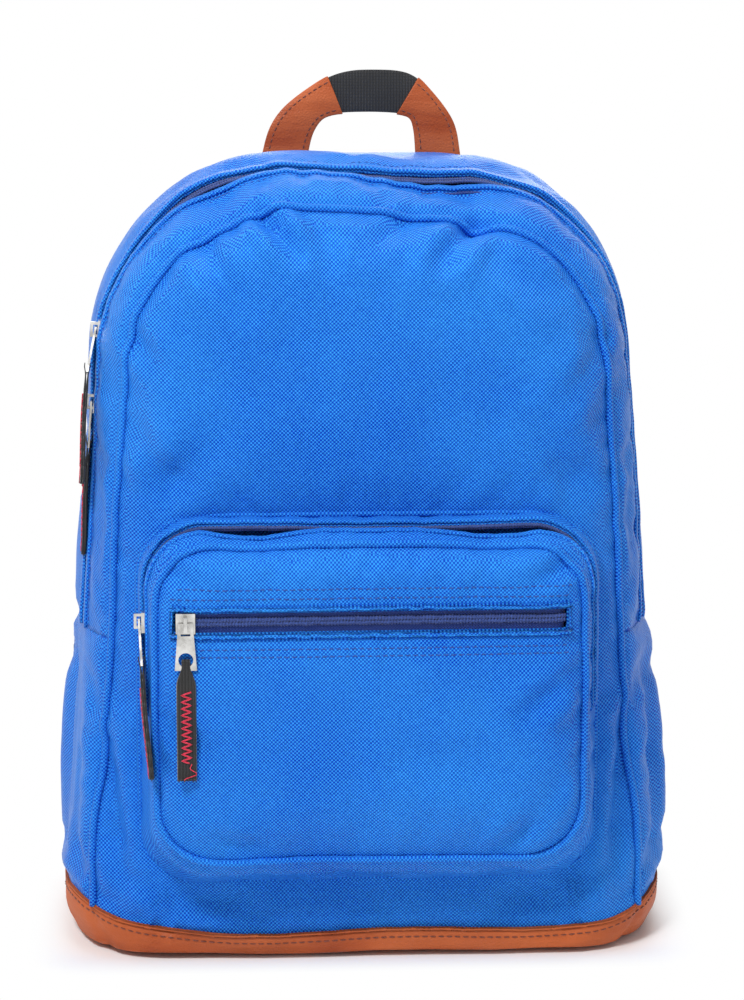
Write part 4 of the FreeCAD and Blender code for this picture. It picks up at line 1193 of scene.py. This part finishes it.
def front_zip():
    """The zip in the pocket's face: tapes, double coil, folded edges and rows of stitches."""
    tree = pocket_surface()
    end = WINDOW_HALF - 0.0006
    for half, word, nodes in ((1, "upper", ["front_zip"]), (-1, "lower", [])):
        path, up = drape(tree, -end, end, WINDOW_Z + half * 0.0036, -0.0032)
        tape = sweep(f"front_tape_{word}", path, flat_section(0.0066, 0.0010), up, TAPE)
        path, up = drape(tree, -end, end, WINDOW_Z + half * 0.0011, -0.0020)
        cord = coil(f"front_coil_{word}", path, up, WINDOW_COIL_PITCH, WINDOW_COIL_RADIUS, 7, half)
        dress(tape, "organiser_flap", "zip_tape", *nodes)
        dress(cord, "organiser_flap", "zip_tape")
    folds = [
        ("upper_fold", WINDOW_RISE + 0.0012, 0.0040, 0.0022),
        ("lower_fold", -WINDOW_RISE - 0.0016, 0.0050, 0.0026)]
    end = WINDOW_HALF + 0.002
    for name, offset, width, thick in folds:
        path, up = drape(tree, -end, end, WINDOW_Z + offset, 0.0004)
        lip = sweep(f"front_zip_{name}", path, flat_section(width, thick), up, BLUE)
        dress(lip, "organiser_flap", "blue_fabric")
    for side, word in ((-1, "left"), (1, "right")):
        x = side * (WINDOW_HALF + 0.001)
        heights = np.linspace(WINDOW_Z - WINDOW_RISE, WINDOW_Z + WINDOW_RISE, 6)
        rows = [drape(tree, x - 0.0001, x + 0.0001, height, 0.0004) for height in heights]
        path, up = [row[0][0] for row in rows], [row[1][0] for row in rows]
        lip = sweep(f"front_zip_end_{word}", path, flat_section(0.0030, 0.0022), up, BLUE)
        dress(lip, "organiser_flap", "blue_fabric")
    end = WINDOW_HALF + 0.003
    for index, offset in enumerate((0.0179, 0.0127, -0.0148, -0.0188)):
        path, up = drape(tree, -end, end, WINDOW_Z + offset)
        row = stitches(f"front_zip_stitches_{index}", path, up, *WINDOW_STITCH, BLUE_THREAD)
        dress(row, "organiser_flap", "blue_fabric")
    inner = padded_box("inner_pocket", *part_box("front_zip_pocket"), LINING)
    dress(inner, "organiser_flap", "lining", "front_zip_pocket")


def padded_box(name, low, high, material, steps=(24, 20), corner=0.0):
    """A flat pad in the XZ plane with thin edges, crowned on both faces within its box."""
    low, high = np.array(low), np.array(high)
    columns, rows = steps
    middle = (low[1] + high[1]) / 2
    half = (high[1] - low[1]) / 2
    sheets = []
    for face in (-1, 1):
        sheet_points = []
        for v in np.linspace(-1, 1, rows):
            for u in np.linspace(-1, 1, columns):
                round_edge = (1 - abs(u) ** 6) * (1 - abs(v) ** 6)
                depth = half * (0.25 + 0.75 * round_edge ** 0.5)
                squeeze = 1 - corner * (u * u * v * v)
                x = (low[0] + high[0]) / 2 + (high[0] - low[0]) / 2 * u * squeeze
                z = (low[2] + high[2]) / 2 + (high[2] - low[2]) / 2 * v * squeeze
                sheet_points.append((x, middle + face * depth, z))
        sheets.append(sheet_points)
    count = rows * columns
    faces = grid_faces(rows, columns)
    faces += [tuple(reversed([index + count for index in face])) for face in grid_faces(rows, columns)]
    border = [i for i in range(columns)] + [r * columns + columns - 1 for r in range(1, rows)]
    border += [(rows - 1) * columns + i for i in range(columns - 2, -1, -1)]
    border += [r * columns for r in range(rows - 2, 0, -1)]
    for first, second in zip(border, border[1:] + border[:1]):
        faces.append((first, second, second + count, first + count))
    item = make_object(name, mesh_from(name, sheets[0] + sheets[1], faces), material)
    recalculate(item)
    return item


# ---------------------------------------------------------------- pull tabs

TAB_WIDTH = 0.0106
TAB_NECK = 0.0046
TAB_SWAY = 0.0007
ZIGZAG_CORNERS = 23
ZIGZAG_START = 0.26
ZIGZAG_REACH = 0.60
FRAY_HAIRS = 15


def node_points(name):
    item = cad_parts[name]
    return np.array([item.matrix_world @ vertex.co for vertex in item.data.vertices])


def tab(name, body, outward):
    """A folded webbing tab with a red zigzag and a frayed end, hung where the CAD tab hangs."""
    points = node_points(name)
    centre = points.mean(axis=0)
    _, _, axes = np.linalg.svd(points - centre, full_matrices=False)
    down = axes[0] * (-1 if axes[0][2] > 0 else 1)
    thick = axes[2] * (1 if axes[2] @ np.array(outward) > 0 else -1)
    wide = np.cross(down, thick)
    along = (points - centre) @ down
    top = centre + down * along.min() + thick * float(np.median((points - centre) @ thick))
    reach = along.max() - along.min()
    shares = np.linspace(0, 1, 34)
    waist = np.clip((shares - 0.05) / 0.16, 0, 1)
    widths = TAB_NECK + (TAB_WIDTH - TAB_NECK) * waist * waist * (3 - 2 * waist)
    sway = TAB_SWAY * np.sin(shares * 5.2) * shares
    section = np.array(flat_section(1.0, 0.11))
    section[:, 1] *= 0.0115 / 0.0106
    pieces = []
    for layer in (-1, 1):
        gap = 0.00060 + 0.0010 * bell(shares - 0.02, 0.05)
        path = top + down * (shares * reach)[:, None] + thick * (sway + layer * gap)[:, None]
        pieces.append(sweep(f"{name}_layer_{layer}", path, section, thick, WEBBING, scale=widths))
    corners = []
    for index in range(ZIGZAG_CORNERS):
        share = ZIGZAG_START + ZIGZAG_REACH * index / (ZIGZAG_CORNERS - 1)
        lift = np.interp(share, shares, sway) + 0.00155
        corners.append(top + down * share * reach + wide * 0.0027 * (1 if index % 2 else -1) + thick * lift)
    row = np.concatenate([np.linspace(a, b, 5)[:-1] for a, b in zip(corners, corners[1:])])
    thread = sweep(f"{name}_zigzag", row, circle_section(0.00050, 6), thick, RED_THREAD)
    tail = corners[-1] + np.array([
        down * t + wide * 0.5 * t * math.sin(9 * t * 100) for t in np.linspace(0, 0.009, 10)])
    loose = sweep(f"{name}_loose_thread", tail, circle_section(0.00030, 5), thick, RED_THREAD)
    for index in range(FRAY_HAIRS):
        aside = wide * (index - FRAY_HAIRS // 2) * 0.00070
        spot = top + down * reach * 0.985 + aside + thick * float(sway[-1])
        lean = rng.uniform(-0.25, 0.25)
        length = rng.uniform(0.0010, 0.0022)
        hair = np.array([spot + (down + wide * lean * t) * length * t for t in np.linspace(0, 1, 4)])
        pieces.append(sweep(f"{name}_hair_{index}", hair, circle_section(0.00022, 4), thick, BLACK_THREAD))
    whole = joined(f"{name}_webbing", pieces + [thread, loose])
    dress(whole, body, "webbing", name)


def tabs():
    tab("front_zip_tab", "front_tab", (0, -1, 0))
    for name, body in (("organiser_tab", "pocket_tab"), ("main_upper_tab", "upper_tab"),
                       ("main_lower_tab", "lower_tab")):
        tab(name, body, (-1, 0, 0))


def hardware():
    for name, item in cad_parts.items():
        if name.endswith(("_slider", "_pull")):
            material = NICKEL
        elif name.startswith("ladder_lock"):
            material = PLASTIC
        else:
            continue
        item.data.materials.clear()
        item.data.materials.append(material)


# ---------------------------------------------------------------- haul loop

# The loop's outer and inner edges as (x, z), z from its foot.
LOOP_OUTER = [(-0.0575, 0.0), (-0.0545, 0.013), (-0.0500, 0.022), (-0.0430, 0.030), (-0.0300, 0.0395),
              (-0.0185, 0.0465), (-0.0065, 0.0498), (0.0060, 0.0502), (0.0225, 0.0497), (0.0320, 0.0460),
              (0.0400, 0.0375), (0.0490, 0.0265), (0.0545, 0.0165), (0.0568, 0.0)]
LOOP_INNER = [(-0.0315, 0.0), (-0.0290, 0.0120), (-0.0255, 0.0185), (-0.0220, 0.0222), (-0.0160, 0.0240),
              (-0.0090, 0.0245), (-0.0010, 0.0246), (0.0070, 0.0246), (0.0150, 0.0243), (0.0225, 0.0238),
              (0.0285, 0.0220), (0.0302, 0.0150), (0.0308, 0.0080), (0.0312, 0.0)]
LOOP_SHIFT = 0.0035
LOOP_DROP = 0.0040
LOOP_LEAN = 0.0035
LOOP_LEATHER = 0.0042
LOOP_ROWS = 120
LOOP_COLUMNS = 9


def smooth_line(points, count):
    """A smooth line near given points."""
    points = np.array(points, float)
    for _ in range(3):
        first = points[:-1] * 0.75 + points[1:] * 0.25
        second = points[:-1] * 0.25 + points[1:] * 0.75
        inner = np.stack([first, second], axis=1).reshape(-1, points.shape[1])
        points = np.concatenate([points[:1], inner, points[-1:]])
    along = np.concatenate([[0], np.cumsum(np.linalg.norm(np.diff(points, axis=0), axis=1))])
    places = np.linspace(0, along[-1], count)
    return np.stack([np.interp(places, along, points[:, k]) for k in range(points.shape[1])], axis=1)


def loop_ribbon(name, start, end, thickness, margin, material):
    """A stretch of the ribbon between two shares of its length."""
    low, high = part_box("haul_loop")
    middle = (low[1] + high[1]) / 2
    outer, inner = smooth_line(LOOP_OUTER, LOOP_ROWS), smooth_line(LOOP_INNER, LOOP_ROWS)
    last = LOOP_ROWS - 1
    rows = []
    for row in range(int(start * last), int(end * last) + 1):
        lean = LOOP_LEAN * math.sin(math.pi * row / last)
        for column in range(LOOP_COLUMNS):
            across = margin + (1 - 2 * margin) * column / (LOOP_COLUMNS - 1)
            x, z = inner[row] + (outer[row] - inner[row]) * across + (LOOP_SHIFT, 0)
            cup = 0.0011 * (1 - (2 * across - 1) ** 2)
            z -= LOOP_DROP
            rows.append((x, middle - cup + lean * (z / 0.05), low[2] + 0.0015 + z))
    faces = grid_faces(len(rows) // LOOP_COLUMNS, LOOP_COLUMNS)
    item = make_object(name, mesh_from(name, rows, faces), material)
    shell = item.modifiers.new("thickness", "SOLIDIFY")
    shell.thickness = thickness
    shell.offset = 0
    soft = item.modifiers.new("soft_edges", "BEVEL")
    soft.width = 0.0004
    soft.segments = 2
    return item


def haul_loop():
    web = loop_ribbon("loop_webbing", 0.0, 1.0, 0.0020, 0.03, WEBBING)
    dress(web, "haul_loop", "webbing", "haul_loop")
    for word, start, end in (("left", 0.0, 0.375), ("right", 0.695, 1.0)):
        cover = loop_ribbon(f"loop_leather_{word}", start, end, LOOP_LEATHER, 0.0, LEATHER)
        dress(cover, "haul_loop", "leather", f"haul_loop_cover_{word}")
        rows = np.array([vertex.co for vertex in cover.data.vertices]).reshape(-1, LOOP_COLUMNS, 3)
        for edge, column in (("inner", 1), ("outer", LOOP_COLUMNS - 2)):
            path = rows[:, column] + np.array([0, -LOOP_LEATHER / 2, 0])
            row = stitches(f"loop_stitches_{word}_{edge}", path, (0, -1, 0), *LOOP_STITCH, DARK_THREAD)
            dress(row, "haul_loop", "leather")


# ---------------------------------------------------------------- back and straps

STRAP_VOXEL = 0.0045
STRAP_CAP = 0.0025
YOKE_MARGIN = 0.003
LINING_MARGIN = 0.026


def largest_shell(source):
    """Points and faces of the deepest closed shell of a CAD node's mesh, its doubled points joined."""
    work = bmesh.new()
    work.from_mesh(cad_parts[source].data)
    bmesh.ops.remove_doubles(work, verts=work.verts, dist=0.0001)
    islands, seen = [], set()
    for vertex in work.verts:
        island, stack = [], [vertex]
        while stack:
            current = stack.pop()
            if current.index not in seen:
                seen.add(current.index)
                island.append(current)
                stack += [edge.other_vert(current) for edge in current.link_edges]
        if island:
            islands.append(island)
    largest = max(islands, key=lambda island: max(v.co.y for v in island) - min(v.co.y for v in island))
    keep = {vertex.index for vertex in largest}
    bmesh.ops.delete(work, geom=[v for v in work.verts if v.index not in keep], context="VERTS")
    points = [tuple(vertex.co) for vertex in work.verts]
    work.verts.index_update()
    faces = [[vertex.index for vertex in face.verts] for face in work.faces]
    work.free()
    return points, faces


def held_ends(points):
    height = points[:, 2]
    return np.maximum(bell(height - height.min(), 0.010), bell(height - height.max(), 0.010))


def shoulder_straps():
    for word in ("left", "right"):
        name = f"shoulder_pad_{word}"
        form = make_object(name, mesh_from(name, *largest_shell(f"shoulder_strap_{word}")), BLUE)
        recalculate(form)
        mesh = voxel_mesh(form, STRAP_VOXEL)
        mesh.materials.clear()
        mesh.materials.append(BLUE)
        rest, moves = run_cloth(form, held_ends, pressure=3.0, frames=15, tension_stiffness=12,
                                compression_stiffness=8)
        for vertex, point in zip(mesh.vertices, rest + capped(moves, STRAP_CAP)):
            vertex.co = point
        smooth = form.modifiers.new("smooth", "SUBSURF")
        smooth.levels = smooth.render_levels = 1
        for face in mesh.polygons:
            face.use_smooth = True
        dress(form, f"strap_{word}", "blue_fabric", f"shoulder_strap_{word}", f"strap_foam_{word}")


def back_fittings():
    low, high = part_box("strap_yoke")
    dress(padded_box("yoke_strip", low, high, BLUE, steps=(60, 12)), "root", "blue_fabric", "strap_yoke")
    for index, height in enumerate((low[2] + YOKE_MARGIN, high[2] - YOKE_MARGIN)):
        path = [(x, high[1], height) for x in np.linspace(low[0] + YOKE_MARGIN, high[0] - YOKE_MARGIN, 60)]
        row = stitches(f"yoke_stitches_{index}", path, (0, 1, 0), *YOKE_STITCH, BLUE_THREAD)
        dress(row, "root", "blue_fabric")
    low = np.array(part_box("back_lining")[0]) + (LINING_MARGIN, 0, 0.002)
    high = np.array(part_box("back_foam")[1]) - (LINING_MARGIN, 0, 0.036)
    pad = padded_box("lining_pad", low, high, LINING, steps=(50, 60), corner=0.085)
    dress(pad, "root", "lining", "back_lining", "back_foam")
    for word in ("left", "right"):
        anchor = anchor_patch(f"anchor_{word}", *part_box(f"strap_anchor_{word}"))
        dress(anchor, "root", "blue_fabric", f"strap_anchor_{word}")
        web = adjuster(f"adjuster_{word}", node_points(f"strap_webbing_{word}"))
        dress(web, "root", "webbing", f"strap_webbing_{word}")
        points = node_points(f"lock_loop_{word}")
        loop = lock_loop(f"lock_sling_{word}", points.min(axis=0), points.max(axis=0))
        dress(loop, f"strap_{word}", "webbing", f"lock_loop_{word}")


def anchor_patch(name, low, high):
    """A tapered tab, wide at the bottom, that holds the adjuster's webbing."""
    rows, columns = 14, 18
    points = []
    for v in np.linspace(0, 1, rows):
        half = (high[0] - low[0]) / 2 * (1 - v) + 0.0128 * v
        for u in np.linspace(-1, 1, columns):
            bulge = (1 - abs(u) ** 4) * (1 - abs(2 * v - 1) ** 6)
            depth = low[1] + (high[1] - low[1]) * (0.3 + 0.7 * bulge)
            points.append(((low[0] + high[0]) / 2 + u * half, depth, low[2] + (high[2] - low[2]) * v))
    item = make_object(name, mesh_from(name, points, grid_faces(rows, columns)), BLUE)
    shell = item.modifiers.new("fabric", "SOLIDIFY")
    shell.thickness = 0.0014
    shell.offset = -1
    return item


def adjuster(name, points):
    """The webbing strip from the anchor to the ladder lock."""
    low, high = points.min(axis=0), points.max(axis=0)
    foot = points[points[:, 2] < low[2] + 0.001].mean(axis=0)
    head = points[points[:, 2] > high[2] - 0.001].mean(axis=0)
    bend = foot * 0.6 + head * 0.4 - (0, 0.0016, 0)
    control = [foot - (0, 0, 0.006), foot, bend, head - (0, 0, 0.016), head]
    return sweep(name, smooth_line(control, 40), flat_section(0.0248, 0.0016, 0.0001), (0, 1, 0), WEBBING)


def lock_loop(name, low, high):
    """A small webbing sling round the ladder lock's top bar."""
    middle = (low + high) / 2
    radius = (high[2] - low[2]) / 2 - 0.0008
    depth = (high[1] - low[1]) / 2 - 0.0008
    turns = np.arange(28) * 2 * math.pi / 28
    path = np.array([middle + (0, math.cos(t) * depth, math.sin(t) * radius) for t in turns])
    outward = unit(path - middle)
    return sweep(name, path, flat_section(high[0] - low[0] - 0.0004, 0.0015), outward, WEBBING, closed=True)


# ---------------------------------------------------------------- floor, light and camera


FLOOR_FOOTPRINT = ((0.0, 0.158), ((BACK - FRONT) / 2, (BACK + FRONT) / 2 - 0.008))
FLOOR_SHADOW = (0.0, 0.034)
FLOOR_HALF = 40
FLOOR_DROP = 0.0008
WORLD_LIGHT = 0.40
WORLD_SEEN = 0.60
LAMP_TARGET = Vector((0, 0, 0.2))
# Name, place, size and power of each lamp.
LAMPS = [
    ("key", (-0.75, -1.4, 1.9), 0.5, 38.0),
    ("fill", (1.7, -1.6, 0.7), 1.6, 3.0),
    ("top", (0.1, 0.2, 2.2), 1.0, 14.0),
    ("back", (0.4, 2.2, 1.1), 1.4, 12.0),
]
CAMERA_AZIMUTH = math.radians(-2.8)
CAMERA_ELEVATION = math.radians(12.0)
CAMERA_DISTANCE = 2.0
CAMERA_TARGET = Vector((0.006, 0, 0.2455))
CAMERA_LENS = 126.7


def floor_stage():
    """A white floor that takes the shadow near the bag and fades into the background beyond it."""
    corners = [(x * FLOOR_HALF, y * FLOOR_HALF, 0) for x, y in ((-1, -1), (1, -1), (1, 1), (-1, 1))]
    material, tree, surface = shader("floor", 0.9, specular=0.1)
    surface.inputs["Base Color"].default_value = (0.9, 0.9, 0.9, 1)
    spot = node(tree, "ShaderNodeSeparateXYZ")
    tree.links.new(node(tree, "ShaderNodeNewGeometry").outputs["Position"], spot.inputs[0])
    past = node(tree, "ShaderNodeCombineXYZ")
    for row, (middle, half) in enumerate(FLOOR_FOOTPRINT):
        off = sum_up(tree, "ABSOLUTE", sum_up(tree, "SUBTRACT", spot.outputs[row], middle))
        beyond = sum_up(tree, "SUBTRACT", off, half)
        tree.links.new(sum_up(tree, "MAXIMUM", beyond, 0.0), past.inputs[row])
    distance = node(tree, "ShaderNodeVectorMath", operation="LENGTH")
    tree.links.new(past.outputs[0], distance.inputs[0])
    far = node(tree, "ShaderNodeMapRange", interpolation_type="SMOOTHSTEP")
    tree.links.new(distance.outputs["Value"], far.inputs[0])
    far.inputs[1].default_value, far.inputs[2].default_value = FLOOR_SHADOW
    path = node(tree, "ShaderNodeLightPath")
    seen = sum_up(tree, "MAXIMUM", path.outputs["Is Camera Ray"], path.outputs["Is Glossy Ray"])
    both = node(tree, "ShaderNodeMixShader")
    tree.links.new(sum_up(tree, "MULTIPLY", far.outputs[0], seen), both.inputs[0])
    tree.links.new(surface.outputs[0], both.inputs[1])
    tree.links.new(node(tree, "ShaderNodeEmission").outputs[0], both.inputs[2])
    tree.links.new(both.outputs[0], tree.nodes["Material Output"].inputs[0])
    floor = make_object("floor", mesh_from("floor", corners, [(0, 1, 2, 3)]), material)
    floor.location.z = -FLOOR_DROP


def world_stage():
    world = bpy.data.worlds.new("studio")
    bpy.context.scene.world = world
    world.use_nodes = True
    tree = world.node_tree
    background = tree.nodes["Background"]
    background.inputs["Color"].default_value = (1, 1, 1, 1)
    path = node(tree, "ShaderNodeLightPath")
    clear = sum_up(tree, "MAXIMUM", path.outputs["Is Glossy Ray"], path.outputs["Is Transmission Ray"])
    seen = sum_up(tree, "MAXIMUM", path.outputs["Is Camera Ray"], clear)
    strength = sum_up(tree, "MULTIPLY_ADD", seen, WORLD_SEEN)
    strength.node.inputs[2].default_value = WORLD_LIGHT
    tree.links.new(strength, background.inputs["Strength"])


def lamps():
    for name, place, size, power in LAMPS:
        data = bpy.data.lights.new(name, "AREA")
        data.shape = "DISK"
        data.size = size
        data.energy = power
        lamp = bpy.data.objects.new(name, data)
        lamp.location = place
        lamp.rotation_euler = (LAMP_TARGET - Vector(place)).to_track_quat("-Z", "Y").to_euler()
        bpy.context.scene.collection.objects.link(lamp)


def camera():
    data = bpy.data.cameras.new("camera")
    item = bpy.data.objects.new("camera", data)
    bpy.context.scene.collection.objects.link(item)
    bpy.context.scene.camera = item
    level = math.cos(CAMERA_ELEVATION)
    back = Vector((math.sin(CAMERA_AZIMUTH) * level, -math.cos(CAMERA_AZIMUTH) * level,
                   math.sin(CAMERA_ELEVATION)))
    data.lens = CAMERA_LENS
    data.sensor_width = 36
    data.clip_start, data.clip_end = 0.05, 200
    item.location = CAMERA_TARGET + back * CAMERA_DISTANCE
    item.rotation_euler = (-back).to_track_quat("-Z", "Y").to_euler()


bag_body()
bag_seams()
leather_seams()
pocket_body()
pocket_seams()
front_zip()
tabs()
hardware()
haul_loop()
shoulder_straps()
back_fittings()
floor_stage()
world_stage()
lamps()
camera()
bpy.context.scene.view_settings.view_transform = "Standard"
